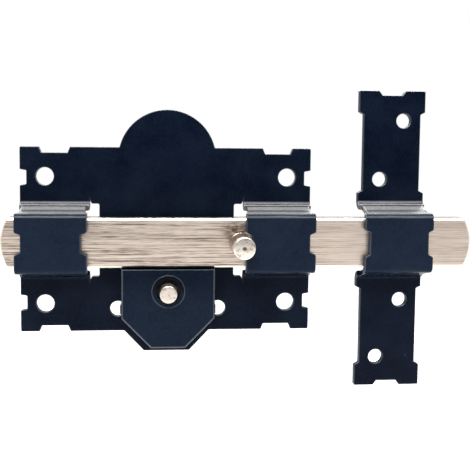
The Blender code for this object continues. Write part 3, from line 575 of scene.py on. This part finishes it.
def joined(shapes):
    """Puts shapes that don't touch into one mesh."""
    whole = bmesh.new()
    carrier = bpy.data.meshes.new("carrier")
    for bm in shapes:
        bmesh.ops.recalc_face_normals(bm, faces=bm.faces)
        bm.to_mesh(carrier)
        bm.free()
        whole.from_mesh(carrier)
    bpy.data.meshes.remove(carrier)
    return whole


def combine(piece, operation, *shapes):
    """Cuts shapes that don't touch each other out of the piece, or joins them to it."""
    helper = new_piece(f"{piece.name}_helper", joined(shapes))
    helper.hide_render = True
    boolean = piece.modifiers.new(operation, "BOOLEAN")
    boolean.operation = operation
    boolean.solver = "EXACT"
    boolean.object = helper


def finished(piece, edge=0.0, edge_slot=0, segments=4):
    """Breaks the sharp edges, bakes every modifier into the mesh and smooths it."""
    if edge:
        bevel = piece.modifiers.new("edge_break", "BEVEL")
        bevel.width = edge
        bevel.segments = segments
        bevel.limit_method = "ANGLE"
        bevel.angle_limit = SHARP
        bevel.use_clamp_overlap = False
        bevel.material = edge_slot
        weighted = piece.modifiers.new("flat_faces", "WEIGHTED_NORMAL")
        weighted.weight = 100
    helpers = [m.object for m in piece.modifiers if m.type == "BOOLEAN"]
    piece.data.shade_smooth()
    if not edge:
        piece.data.set_sharp_from_angle(angle=SHARP)
    bpy.context.view_layer.update()
    graph = bpy.context.evaluated_depsgraph_get()
    whole = piece.evaluated_get(graph)
    mesh = bpy.data.meshes.new_from_object(whole, preserve_all_data_layers=True, depsgraph=graph)
    piece.modifiers.clear()
    old = piece.data
    piece.data = mesh
    mesh.name = piece.name
    bpy.data.meshes.remove(old)
    for helper in helpers:
        bpy.data.objects.remove(helper)
    return piece


def stands_for(piece, body, slot, *nodes):
    """The piece rides on that body, in place of those CAD nodes. Its slot is not used."""
    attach(piece, body)
    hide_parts(*nodes)


# ---- bridges ----
def bridge_path(foot_clear):
    """The middle of a bridge's sheet from its centre to the end of one foot, as (z, out)."""
    middle = SHEET / 2
    slope = math.atan2(BRIDGE_OUTER - SHEET, foot_clear - BRIDGE_FRONT_CLEAR)
    inset = middle * math.tan(slope / 2)
    foot_z = BOLT_HALF + foot_clear - inset
    front_z = BOLT_HALF + BRIDGE_FRONT_CLEAR - inset
    end_z = foot_z + FOOT_BEND_RADIUS * math.tan(slope / 2) + FOOT_FLAT
    front = BRIDGE_OUTER - middle
    bends = [(front_z, front, BEND_RADIUS), (foot_z, middle, FOOT_BEND_RADIUS)]
    return softened([(0, front, 0), *bends, (end_z, middle, 0)], BEND_STEPS)


def along(path):
    """The length of the path up to each of its points."""
    total = [0.0]
    for before, after in zip(path, path[1:]):
        total.append(total[-1] + math.dist(before, after))
    return total


def value_at(steps, place):
    """The value at a place between steps of (place, value)."""
    for (low, first), (high, last) in zip(steps, steps[1:]):
        if place <= high and high - low > SAME / 100:
            return first + (last - first) * max(0.0, place - low) / (high - low)
    return steps[-1][1]


def point_at(path, lengths, place):
    """The path's point at that length, and the direction out of its front."""
    i = max(k for k in range(len(path) - 1) if lengths[k] <= place + SAME)
    share = min(1.0, (place - lengths[i]) / (lengths[i + 1] - lengths[i]))
    here = Vector(path[i]).lerp(Vector(path[i + 1]), share)
    step = Vector(path[i + 1]) - Vector(path[i])
    if share * step.length < SAME and i > 0:
        step = step.normalized() + (Vector(path[i]) - Vector(path[i - 1])).normalized()
    step.normalize()
    return here, Vector((-step.y, step.x))


def strip(path, widths, centre_x):
    """A bent sheet along the path and its mirror image below it. Widths are steps of (length from the middle,
    half width). Its two ends are left open."""
    lengths = along(path)
    places = sorted({round(p, 9) for p in lengths + [w for w, _ in widths]})
    places = [p for p, q in zip(places, places[1:] + [1.0]) if q - p > SAME]
    bm = bmesh.new()
    rings = []
    for sign, stops in ((-1, reversed(places[1:])), (1, places)):
        for place in stops:
            here, outward = point_at(path, lengths, place)
            half = value_at(widths, place)
            inner, outer = here - outward * SHEET / 2, here + outward * SHEET / 2
            corners = [(-half, inner), (half, inner), (half, outer), (-half, outer)]
            rings.append([bm.verts.new((centre_x + x, -p.y, sign * p.x)) for x, p in corners])
    for first, last in zip(rings, rings[1:]):
        for k in range(4):
            bm.faces.new([first[k], first[(k + 1) % 4], last[(k + 1) % 4], last[k]])
    return bm, rings[0], rings[-1]


def notch(notch_half, narrow, half):
    """The corners of a bridge's width at the notches in the sides of its front."""
    return [(0, narrow, 0), (notch_half, narrow, CORNER), (notch_half + NOTCH_SLOPE, half, CORNER)]


def wall_waist(path, half, waist):
    """The corners of a bridge's width where its walls narrow between the two bends."""
    lengths = along(path)
    start, end = lengths[1 + BEND_STEPS], lengths[2 + BEND_STEPS]
    soft = WAIST_STEP / 2
    return [
        (start + WAIST_STEP, half, soft),
        (start + 2 * WAIST_STEP, waist, soft),
        (end - 2 * WAIST_STEP, waist, soft),
        (end - WAIST_STEP, half, soft),
    ]


# ---- base plate ----
def plate_outline(foot_z):
    """The base plate from the front: its right half from the dome's top to the tongue, then mirrored."""
    dome_z = plate_high.z - DOME_RADIUS
    dome_foot = math.degrees(math.asin((PLATE_TOP - dome_z) / DOME_RADIUS))
    near = PLATE_HALF - EDGE_RECESS_START
    far = near - EDGE_RECESS_LENGTH
    deep = PLATE_HALF - END_RECESS_DEPTH
    window_x = BRIDGE_INNER_X - WINDOW_PAST_BRIDGE
    window_z = BOLT_HALF + WINDOW_PAST_BOLT

    def side(edge, depth, sign):
        recess = END_RECESS_Z * sign
        step = END_RECESS_HALF * sign
        slope = RECESS_SLOPE / 2 * sign
        small = CORNER / 2
        return [
            (far, edge, small),
            (far + RECESS_SLOPE, edge - depth, small),
            (near - RECESS_SLOPE, edge - depth, small),
            (near, edge, small),
            (PLATE_HALF, edge, CORNER),
            (PLATE_HALF, recess + step, small),
            (deep, recess + step - slope, small),
            (deep, recess - step + slope, small),
            (PLATE_HALF, recess - step, small),
            (PLATE_HALF, foot_z * sign, 0),
            (BRIDGE_INNER_X, foot_z * sign, 0),
            (BRIDGE_INNER_X - WINDOW_SLIT, window_z * sign, 0),
            (window_x, window_z * sign, CORNER),
        ]

    dome = [(x, z, 0) for x, z in arc((0, dome_z), DOME_RADIUS, 90, dome_foot, DOME_STEPS)[1:]]
    lower = list(reversed(side(PLATE_BOTTOM, -EDGE_RECESS_DEPTH, -1)))
    tongue = [(TONGUE_HALF_TOP, PLATE_BOTTOM, CORNER), (TONGUE_HALF_END, plate_low.z, CORNER)]
    right = dome + side(PLATE_TOP, EDGE_RECESS_DEPTH, 1) + lower + tongue
    return softened([(0, plate_high.z, 0)] + mirrored(right))


def make_base_plate(enamel, enamel_edge_highlight):
    path = bridge_path(BRIDGE_FOOT_CLEAR)
    foot_z = path[-1][0]
    bm = facing(plate_outline(foot_z), 0, SHEET)

    def at_bridge_foot(vert):
        return abs(abs(vert.co.z) - foot_z) < SAME and abs(vert.co.x) > BRIDGE_INNER_X - SAME

    seats = [face for face in bm.faces if all(map(at_bridge_foot, face.verts))]
    bmesh.ops.delete(bm, geom=seats, context="FACES")
    half = BRIDGE_WIDTH / 2
    narrow = half - NOTCH_DEPTH
    widths = notch(NOTCH_HALF, narrow, half) + wall_waist(path, half, half - WAIST_DEPTH)
    widths.append((along(path)[-1], half, 0))
    carrier = bpy.data.meshes.new("bridge")
    for side in (-1, 1):
        bridge = strip(path, softened(widths, WIDTH_STEPS), side * (PLATE_HALF - half))[0]
        bridge.to_mesh(carrier)
        bridge.free()
        bm.from_mesh(carrier)
    bpy.data.meshes.remove(carrier)
    bmesh.ops.remove_doubles(bm, verts=bm.verts, dist=WELD)
    plate = new_piece("pressed_base_plate", bm, enamel, enamel_edge_highlight)
    holes = [hole(RIVET_X, RIVET_Z, RIVET_RADIUS + FIT)]
    for side in (-1, 1):
        for level in (-1, 1):
            screw_x = side * (PLATE_HALF - SCREW_HOLE_INSET)
            holes.append(hole(screw_x, level * SCREW_HOLE_Z, SCREW_HOLE_RADIUS))
        holes.append(hole(CATCH_X + side * TAB_HOLE_X, TAB_Z, TAB_HOLE_RADIUS))
        holes.append(hole(CATCH_X + side * PIN_SPACING / 2, BUTTON_Z, PIN_RADIUS + FIT))
    combine(plate, "DIFFERENCE", *holes)
    return finished(plate, EDGE_BREAK, 1)


def make_keeper(enamel, enamel_edge_highlight):
    path = bridge_path(KEEPER_FOOT_CLEAR)
    foot_z = path[-1][0]
    path[-1] = (KEEPER_HALF_LENGTH, SHEET / 2)
    extra = along(path)[-1] - KEEPER_HALF_LENGTH
    wide, narrow = KEEPER_HALF_WIDTH, KEEPER_WAIST_HALF
    ear = BOLT_HALF + KEEPER_EAR_PAST_BOLT + extra
    end = KEEPER_HALF_LENGTH + extra
    small = CORNER / 2
    widths = notch(KEEPER_NOTCH_HALF, narrow, wide) + wall_waist(path, wide, wide - WAIST_DEPTH)
    widths += [
        (ear, wide, small),
        (ear + RECESS_SLOPE, narrow, small),
        (end - KEEPER_EAR_LENGTH, narrow, small),
        (end - KEEPER_EAR_LENGTH + RECESS_SLOPE, wide, small),
        (end, wide, CORNER),
        (end, 0, 0),
    ]
    bm, low_end, high_end = strip(path, softened(widths, WIDTH_STEPS)[:-1], KEEPER_X)
    bm.faces.new(low_end)
    bm.faces.new(high_end)
    keeper = new_piece("pressed_keeper", bm, enamel, enamel_edge_highlight)
    bottom, mouth, depth = KEEPER_END_NOTCH
    past = mouth + (mouth - bottom) * PAST / depth
    cuts = []
    for sign in (-1, 1):
        right = [(bottom, KEEPER_HALF_LENGTH - depth, small), (past, KEEPER_HALF_LENGTH + PAST, 0)]
        outline = [(KEEPER_X + x, sign * z) for x, z in softened(mirrored(right))]
        cuts.append(facing(outline, -PAST, SHEET + PAST))
    for z in (KEEPER_OUTER_HOLE, -KEEPER_INNER_HOLE):
        for x, level in ((KEEPER_X + KEEPER_HOLE_STAGGER, z), (KEEPER_X - KEEPER_HOLE_STAGGER, -z)):
            cuts.append(hole(x, level, KEEPER_HOLE_RADIUS))
    combine(keeper, "DIFFERENCE", *cuts)
    return finished(keeper, EDGE_BREAK, 1)


# ---- bolt and knob ----
def make_bolt(material):
    rise = math.degrees(math.asin(BOLT_HALF / BOLT_END_RADIUS))
    nose = arc((bolt_high.x - BOLT_END_RADIUS, 0), BOLT_END_RADIUS, -rise, rise, BOLT_END_STEPS)
    tail = arc((bolt_low.x + BOLT_END_RADIUS, 0), BOLT_END_RADIUS, 180 - rise, 180 + rise, BOLT_END_STEPS)
    bm = facing(nose + tail, BOLT_BACK, BOLT_FRONT)
    for out, width in ((BOLT_FRONT, BOLT_CHAMFER), (BOLT_BACK, BOLT_BACK_CHAMFER)):
        rim = [e for e in bm.edges if all(abs(v.co.y + out) < SAME for v in e.verts)]
        bmesh.ops.bevel(bm, geom=rim, offset=width, segments=1, affect="EDGES")
    bolt = new_piece("drawn_bolt", bm, material)
    half = TOOTH_HALF + FIT
    end = TOOTH_HALF + GROOVE_RUN
    low = -BOLT_HALF - PAST
    groove = [(CATCH_X - end, low), (CATCH_X + TRAVEL + end, low)]
    groove += [(x, TOOTH_TOP + GAP) for x, _ in reversed(groove)]
    combine(bolt, "DIFFERENCE", facing(groove, CATCH_BACK - GAP, CATCH_FRONT + GAP))
    pockets = []
    top = TOOTH_TOP + GAP / 2
    for x in (CATCH_X, CATCH_X + TRAVEL):
        outline = [(x - half, low), (x + half, low), (x + half, top), (x - half, top)]
        pockets.append(facing(outline, BOLT_BACK - PAST, CATCH_BACK))
    combine(bolt, "DIFFERENCE", *pockets)
    combine(bolt, "DIFFERENCE", hole(KNOB_X, 0, KNOB_STUD_RADIUS + FIT, front=BOLT_FRONT + PAST))
    return finished(bolt, BOLT_BREAK, segments=3)


def make_knob(material):
    """A ring at its foot, a neck, and a slightly domed head with a drilled centre."""
    seat = BOLT_FRONT + GAP
    neck = KNOB_RADIUS - KNOB_NECK_DEPTH
    neck_low = seat + KNOB_RING + KNOB_NECK_DEPTH / 2
    neck_high = neck_low + KNOB_NECK
    flat = KNOB_RADIUS - KNOB_CROWN_INSET
    foot_round, ring_round, neck_round, head_round = 0.2 * MM, 0.3 * MM, 0.12 * MM, 0.55 * MM
    crown = [(flat * k / 10, KNOB_FRONT - KNOB_CROWN * (k / 10) ** 2, 0) for k in range(9, 2, -1)]
    profile = softened([
        (0, BOLT_BACK + GAP, 0),
        (KNOB_STUD_RADIUS, BOLT_BACK + GAP, foot_round),
        (KNOB_STUD_RADIUS, seat, 0),
        (KNOB_RADIUS, seat, foot_round),
        (KNOB_RADIUS, seat + KNOB_RING, ring_round),
        (neck, neck_low, neck_round),
        (neck, neck_high, neck_round),
        (KNOB_RADIUS, neck_high + KNOB_NECK_DEPTH, ring_round),
        (KNOB_RADIUS, KNOB_FRONT - KNOB_CROWN, head_round),
        *crown,
        (KNOB_DIMPLE, KNOB_FRONT - 0.02 * MM, 0.1 * MM),
        (0, KNOB_FRONT - KNOB_DIMPLE, 0),
    ])
    return finished(new_piece("turned_knob", turned(profile, KNOB_X, 0), material))


# ---- cover ----
def cover_outline(inset, past_top):
    """The cover from the front, with its walls moved in by inset and its open top raised by past_top."""
    run, fall = COVER_HALF - COVER_END_HALF, COVER_CORNER_Z - COVER_BOTTOM
    slope = math.atan2(fall, run)
    corner = max(COVER_CORNER - inset, 0.2 * MM)
    right = [
        (COVER_HALF - inset, COVER_TOP + past_top, 0),
        (COVER_HALF - inset, COVER_CORNER_Z + inset * math.tan((math.pi / 2 - slope) / 2), corner),
        (COVER_END_HALF - inset * math.tan(slope / 2), COVER_BOTTOM + inset, corner),
    ]
    return [(CATCH_X + x, z) for x, z in softened(mirrored(right))]


def cover_tab(side):
    """A lug that steps out of the cover's wall and reaches into the hole of the base plate."""
    inside = COVER_HALF - COVER_SHEET / 2
    outside = COVER_HALF + TAB_SHEET
    step = SHEET + 2 * GAP
    section = [(inside, step), (COVER_HALF, step), (COVER_HALF, GAP), (outside, GAP)]
    section += [(outside, step + PAST), (inside, step + 2 * PAST)]
    corners = [(CATCH_X + side * x, -out, TAB_Z - TAB_HALF) for x, out in section]
    return extruded(corners, (0, 0, 2 * TAB_HALF))


def make_cover(enamel, enamel_edge_highlight):
    back = SHEET + GAP
    collar_back = CATCH_FRONT + 2 * GAP + FLANGE
    bm = facing(cover_outline(0, 0), back, COVER_FRONT)
    rim = []
    for edge in bm.edges:
        at_front = all(abs(v.co.y + COVER_FRONT) < SAME for v in edge.verts)
        at_top = all(abs(v.co.z - COVER_TOP) < SAME for v in edge.verts)
        if at_front and not at_top:
            rim.append(edge)
    bmesh.ops.bevel(bm, geom=rim, offset=COVER_EDGE, segments=6, affect="EDGES", profile=0.5, material=1)
    cover = new_piece("pressed_cover", bm, enamel, enamel_edge_highlight)
    combine(cover, "DIFFERENCE", facing(cover_outline(COVER_SHEET, PAST), back - PAST, COVER_INNER))
    sunk = COVER_INNER + COVER_SHEET / 2
    collar = [(0, collar_back), (COLLAR_RADIUS, collar_back), (COLLAR_RADIUS, sunk), (0, sunk)]
    combine(cover, "UNION", turned(collar, CATCH_X, BUTTON_Z))
    flare = (DISH_RADIUS - BUTTON_HOLE_RADIUS) / DISH_DEPTH
    dish = [
        (0, collar_back - PAST),
        (BUTTON_HOLE_RADIUS, collar_back - PAST),
        (BUTTON_HOLE_RADIUS, COVER_FRONT - DISH_DEPTH),
        (DISH_RADIUS + flare * PAST, COVER_FRONT + PAST),
        (0, COVER_FRONT + PAST),
    ]
    combine(cover, "DIFFERENCE", turned(dish, CATCH_X, BUTTON_Z))
    combine(cover, "UNION", cover_tab(-1), cover_tab(1))
    return finished(cover, COVER_BREAK, 1, segments=3)


# ---- catch ----
def make_button(nickel, shade_dark):
    """A push button with a flange behind the cover, riveted into the catch plate by its spigot. Only its pin
    shows nickel: the rest takes the dark zinc, as painted shade inside the cover."""
    wider, thick = SPIGOT_HEAD
    flange_back = CATCH_FRONT + GAP
    flange_front = flange_back + FLANGE
    head_front = BUTTON_BACK + thick
    head_round, flange_round, pin_foot_round = 0.1 * MM, 0.15 * MM, 0.2 * MM
    profile = softened([
        (0, BUTTON_BACK, 0),
        (SPIGOT_RADIUS + wider, BUTTON_BACK, head_round),
        (SPIGOT_RADIUS + wider, head_front, head_round),
        (SPIGOT_RADIUS, head_front, 0),
        (SPIGOT_RADIUS, flange_back, 0),
        (FLANGE_RADIUS, flange_back, flange_round),
        (FLANGE_RADIUS, flange_front, flange_round),
        (BUTTON_RADIUS, flange_front, pin_foot_round),
        (BUTTON_RADIUS, BUTTON_FRONT, BUTTON_EDGE),
        (BUTTON_RADIUS * 0.5, BUTTON_FRONT, 0),
        (0, BUTTON_FRONT, 0),
    ])
    button = finished(new_piece("turned_button", turned(profile, CATCH_X, BUTTON_Z), nickel, shade_dark))
    # Faces nearer to the door than this take the dark zinc as painted shade.
    unshaded_from = flange_front + 1.5 * pin_foot_round
    for face in button.data.polygons:
        face.material_index = int(-face.center.y < unshaded_from)
    return button


def refined(name, node, material, edge):
    """A CAD node's own shape with its edges broken."""
    bm = bmesh.new()
    bm.from_mesh(frame["nodes"][node].data)
    bmesh.ops.remove_doubles(bm, verts=bm.verts, dist=WELD)
    bmesh.ops.dissolve_limit(bm, angle_limit=math.radians(0.5), verts=bm.verts, edges=bm.edges)
    return finished(new_piece(name, bm, material), edge, segments=2)


# ---- geometry node trees ----
def new_tree(name, sizes, takes_mesh=False):
    """A Geometry Nodes group with a named input for each size, and one for its material."""
    tree = bpy.data.node_groups.new(name, "GeometryNodeTree")
    if takes_mesh:
        tree.interface.new_socket("Piece", in_out="INPUT", socket_type="NodeSocketGeometry")
    for size, kind in sizes.items():
        tree.interface.new_socket(size, in_out="INPUT", socket_type=f"NodeSocket{kind}")
    tree.interface.new_socket("Material", in_out="INPUT", socket_type="NodeSocketMaterial")
    tree.interface.new_socket("Geometry", in_out="OUTPUT", socket_type="NodeSocketGeometry")
    return tree, add(tree, "NodeGroupInput").outputs


def close_tree(tree, given, shape):
    """Ends the tree in Realize Instances and Set Material."""
    real = add(tree, "GeometryNodeRealizeInstances", {"Geometry": shape})
    smooth = add(tree, "GeometryNodeSetShadeSmooth", {"Geometry": real})
    dressed = add(tree, "GeometryNodeSetMaterial", {"Geometry": smooth, "Material": given["Material"]})
    add(tree, "NodeGroupOutput", {"Geometry": dressed})
    return tree


def coil_tree():
    """A conical wire coil on an axis along Y whose end turns lie nearly flat."""
    kinds = {**dict.fromkeys(("Turns", "Wide", "Small", "Height", "Wire"), "Float"), "Foot": "Vector"}
    tree, given = new_tree("conical_coil", kinds)
    spiral = add(tree, "GeometryNodeCurveSpiral", {
        "Resolution": 48, "Rotations": given["Turns"], "Start Radius": given["Wide"],
        "End Radius": given["Small"], "Height": 0.0,
    })
    part = add(tree, "GeometryNodeSplineParameter").outputs["Factor"]
    eased = add(tree, RANGE, [part], interpolation_type="SMOOTHSTEP")
    rise = add(tree, MATH, [eased, given["Height"]], operation="MULTIPLY")
    lift = add(tree, "ShaderNodeCombineXYZ", {"Z": rise})
    raised = add(tree, "GeometryNodeSetPosition", {"Geometry": spiral, "Offset": lift})
    turn = {"Geometry": raised, "Translation": given["Foot"], "Rotation": (math.radians(90), 0, 0)}
    placed = add(tree, "GeometryNodeTransform", turn)
    ring = add(tree, "GeometryNodeCurvePrimitiveCircle", {"Resolution": 16, "Radius": given["Wire"]})
    wire = add(tree, "GeometryNodeCurveToMesh", {"Curve": placed, "Profile Curve": ring, "Fill Caps": True})
    return close_tree(tree, given, wire)


def row_tree():
    """Copies of a piece in a row."""
    tree, given = new_tree("row_of_pieces", {"Count": "Int", "Spacing": "Vector"}, takes_mesh=True)
    line = {"Count": given["Count"], "Offset": given["Spacing"]}
    spots = add(tree, "GeometryNodeMeshLine", line, mode="OFFSET")
    copies = add(tree, "GeometryNodeInstanceOnPoints", {"Points": spots, "Instance": given["Piece"]})
    return close_tree(tree, given, copies)


def grown(piece, tree, **sizes):
    """Runs a tree on a piece and keeps the plain mesh that it makes."""
    modifier = piece.modifiers.new(tree.name, "NODES")
    modifier.node_group = tree
    for item in tree.interface.items_tree:
        if item.in_out == "INPUT" and item.name in sizes:
            modifier[item.identifier] = sizes[item.name]
    return finished(piece)


def make_spring(tree, material):
    """A conical spring between the base plate and the catch plate, its wide end on the base plate."""
    foot = -spring_high.y + SPRING_WIRE
    sizes = {
        "Turns": float(SPRING_TURNS),
        "Wide": (spring_high.x - spring_low.x) / 2 - SPRING_WIRE,
        "Small": SPIGOT_RADIUS + SPIGOT_HEAD[0] + FIT + SPRING_WIRE,
        "Height": spring_high.y - spring_low.y - 2 * SPRING_WIRE,
        "Wire": SPRING_WIRE,
        "Foot": (CATCH_X, -foot, BUTTON_Z),
    }
    spring = grown(new_piece("conical_spring", bmesh.new(), material), tree, Material=material, **sizes)
    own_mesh(spring)
    return spring


def make_pins(tree, material):
    """Two shouldered pins, riveted into the base plate, with a groove for their clips."""
    shoulder = (pin_high.x - pin_low.x) / 2
    seat = SHEET + FIT
    shoulder_front = seat + PIN_SHOULDER
    clip_back, clip_front = -clip_high.y, -clip_low.y
    neck = PIN_RADIUS - PIN_GROOVE
    groove_back, groove_front = clip_back - CLIP_PLAY, clip_front + CLIP_PLAY
    end = -pin_low.y
    fine, shoulder_round, rivet_round, end_round = 0.05 * MM, 0.08 * MM, 0.1 * MM, 0.3 * MM
    profile = softened([
        (0, GAP, 0),
        (PIN_RADIUS, GAP, rivet_round),
        (PIN_RADIUS, seat, 0),
        (shoulder, seat, shoulder_round),
        (shoulder, shoulder_front, shoulder_round),
        (PIN_RADIUS, shoulder_front, fine),
        (PIN_RADIUS, groove_back, fine),
        (neck, groove_back, fine),
        (neck, groove_front, fine),
        (PIN_RADIUS, groove_front, fine),
        (PIN_RADIUS, end, end_round),
        (0, end, 0),
    ], 3)
    pins = new_piece("guide_pins", turned(profile, PIN_X, BUTTON_Z, HOLE_ROUND), material)
    return grown(pins, tree, Count=2, Spacing=(PIN_SPACING, 0, 0), Material=material)


def make_clips(tree, material):
    """Two open retaining rings in the guide pins' grooves."""
    centre = (PIN_X, BUTTON_Z)
    inner = PIN_RADIUS - PIN_GROOVE + CLIP_ROOM
    last, first = CLIP_OPENING
    ring = arc(centre, inner + CLIP_WIDTH, first, last, CLIP_STEPS)
    ring += arc(centre, inner, last, first, CLIP_STEPS)
    clip = new_piece("guide_clips", facing(ring, -clip_high.y, -clip_low.y), material)
    finished(clip, CLIP_BREAK, segments=2)
    return grown(clip, tree, Count=2, Spacing=(PIN_SPACING, 0, 0), Material=material)


# ---- studio ----
CAMERA_PLACE = (-2.1 * MM, -242.3 * MM, 33.2 * MM)
CAMERA_YAW, CAMERA_PITCH, CAMERA_ROLL = (math.radians(angle) for angle in (3.92, -3.34, 0.46))
CAMERA_LENS = 48.52  # on a sensor 36 mm wide
CAMERA_SHIFT = (0.0638, -0.0957)
FLOOR_DROP = 90 * MM  # under the lock
FLOOR_HALF = 4.0
LIT = (30 * MM, 0, 0)  # what the softboxes point at
SOFTBOXES = [  # name, place, size and watts
    ("overhead", (0.03, -0.05, 0.5), (0.7, 0.1), 4.0),
    ("rim", (0.03, 0.42, 0.36), (0.9, 0.2), 6.0),
    ("high_front", (-0.25, -0.55, 0.6), (0.4, 0.3), 3.4),
]
ROOM_LIGHT = 0.15  # of the dim room behind the camera, between the tent's bright top and floor


def make_camera():
    """A close view of the thrown lock, from a little above and to the left."""
    yaw, pitch, roll = CAMERA_YAW, CAMERA_PITCH, CAMERA_ROLL
    forward = Vector((math.sin(yaw) * math.cos(pitch), math.cos(yaw) * math.cos(pitch), math.sin(pitch)))
    level = Vector((math.cos(yaw), -math.sin(yaw), 0))
    upright = level.cross(forward)
    right = level * math.cos(roll) + upright * math.sin(roll)
    up = upright * math.cos(roll) - level * math.sin(roll)
    lens = bpy.data.cameras.new("camera")
    lens.sensor_width = 36
    lens.lens = CAMERA_LENS
    lens.shift_x, lens.shift_y = CAMERA_SHIFT
    lens.clip_start = 0.01
    camera = bpy.data.objects.new("camera", lens)
    bpy.context.scene.collection.objects.link(camera)
    turn = Matrix((right, up, -forward)).transposed().to_4x4()
    camera.matrix_world = Matrix.Translation(CAMERA_PLACE) @ turn
    bpy.context.scene.camera = camera


def add_softbox(name, place, size, power):
    light = bpy.data.lights.new(name, "AREA")
    light.shape = "RECTANGLE"
    light.size, light.size_y = size
    light.energy = power
    box = bpy.data.objects.new(name, light)
    box.location = place
    box.rotation_euler = (Vector(LIT) - Vector(place)).to_track_quat("-Z", "Y").to_euler()
    bpy.context.scene.collection.objects.link(box)


def make_world():
    """The tent's even white walls. Mirrors also see the dim room through its open front."""
    world = bpy.data.worlds.new("white_tent")
    bpy.context.scene.world = world
    world.use_nodes = True
    tree = world.node_tree
    path = add(tree, "ShaderNodeLightPath").outputs
    seen = add(tree, MATH, [path["Is Camera Ray"], path["Is Glossy Ray"]], operation="MAXIMUM")
    seen = add(tree, MATH, [seen, path["Is Transmission Ray"]], operation="MAXIMUM")
    plain = add(tree, RANGE, [seen, 0.0, 1.0, 0.5, 1.0])
    direction = add(tree, "ShaderNodeTexCoord").outputs["Generated"]
    _, y, z = add(tree, "ShaderNodeSeparateXYZ", [direction]).outputs
    ahead = add(tree, RANGE, [y, -0.1, -0.6])
    level = add(tree, RANGE, [add(tree, MATH, [z], operation="ABSOLUTE"), 0.8, 0.4])
    room = add(tree, MATH, [ahead, level], operation="MULTIPLY")
    mirrored_light = add(tree, RANGE, [room, 0.0, 1.0, 1.0, ROOM_LIGHT])
    glow = add(tree, MIX, {0: path["Is Glossy Ray"], 2: plain, 3: mirrored_light})
    connect(tree, tree.nodes["Background"], {"Color": srgb("#ffffff"), "Strength": glow})


def make_studio():
    """A white tent: a paper floor well under the lock, a softbox above it, one behind and one high in
    front."""
    bm = bmesh.new()
    bmesh.ops.create_grid(bm, x_segments=8, y_segments=8, size=FLOOR_HALF)
    bmesh.ops.translate(bm, verts=bm.verts, vec=(0, 0, cad_bounds[0][2] - FLOOR_DROP))
    new_piece("floor", bm, studio_white())
    for softbox in SOFTBOXES:
        add_softbox(*softbox)
    make_world()
    bpy.context.scene.view_settings.view_transform = "Standard"


# ---- assembly ----
def make_enamelled_pieces():
    flat = {"deep": "#030a1c", "rough": 0.26, "dry": 0.3, "level": 0.07}
    # The film on the broken edges is painted paler than the flat, as a painted highlight along the edges, and
    # has a stronger sheen.
    edge = {"deep": "#1c2530", "pale": "#3d4751", "rough": 0.28, "dry": 0.3, "level": 0.5}
    enamel = stoved_enamel("stoved_enamel", pale="#1d2738", **flat)
    enamel_edge_highlight = stoved_enamel("stoved_enamel_edge_highlight", **edge)
    # The cover's own enamel carries painted shade under the bolt, between these two heights.
    bolt_shade, dry = (COVER_TOP / MM - under for under in COVER_SHADE)
    cover_enamel = stoved_enamel("stoved_enamel_cover", pale="#1a2434", bridged=False, bolt_shade=(dry, bolt_shade), **flat)
    cover_edge_highlight = stoved_enamel("stoved_enamel_cover_edge_highlight", bridged=False, **edge)
    stands_for(make_base_plate(enamel, enamel_edge_highlight), "lock_body", "black_enamel", "base_plate")
    stands_for(make_keeper(enamel, enamel_edge_highlight), "lock_body", "black_enamel", "keeper")
    stands_for(make_cover(cover_enamel, cover_edge_highlight), "lock_body", "black_enamel", "mechanism_cover")


def main():
    make_camera()
    make_studio()
    make_enamelled_pieces()
    zinc = zinc_plate()
    steel = spring_steel()
    shade_zinc = zinc_in_painted_shade()

    stands_for(make_bolt(brushed_nickel()), "bolt", "brushed_nickel", "sliding_bolt")
    shade_from = KNOB_FRONT - KNOB_UNSHADED_DEPTH
    knob_nickel = turned_nickel("turned_nickel_knob", KNOB_X, 0, 0.9, "#fff5e8", shade_from, FINGER_MARKS)
    stands_for(make_knob(knob_nickel), "bolt", "turned_nickel", "bolt_knob")
    button_nickel = turned_nickel("turned_nickel_button", CATCH_X, BUTTON_Z, 0.15, "#efe3d6", COVER_FRONT)
    stands_for(make_button(button_nickel, shade_zinc), "release", "turned_nickel", "release_button")

    row = row_tree()
    stands_for(make_pins(row, zinc), "lock_body", "zinc_plate", "guide_pin_left", "guide_pin_right")
    stands_for(make_clips(row, steel), "lock_body", "spring_steel", "guide_clip_left", "guide_clip_right")
    stands_for(make_spring(coil_tree(), steel), "lock_body", "spring_steel", "return_spring")
    # The catch plate takes the dark zinc as painted shade inside the cover.
    catch = refined("stamped_catch", "catch_plate", shade_zinc, CATCH_BREAK)
    stands_for(catch, "release", "zinc_plate", "catch_plate")
    leaf = refined("bent_leaf", "detent_leaf", steel, LEAF_BREAK)
    stands_for(leaf, "lock_body", "spring_steel", "detent_leaf")
    rivet = refined("leaf_rivet", "detent_rivet", zinc, LEAF_BREAK)
    stands_for(rivet, "lock_body", "zinc_plate", "detent_rivet")


main()
bpy.context.view_layer.update()
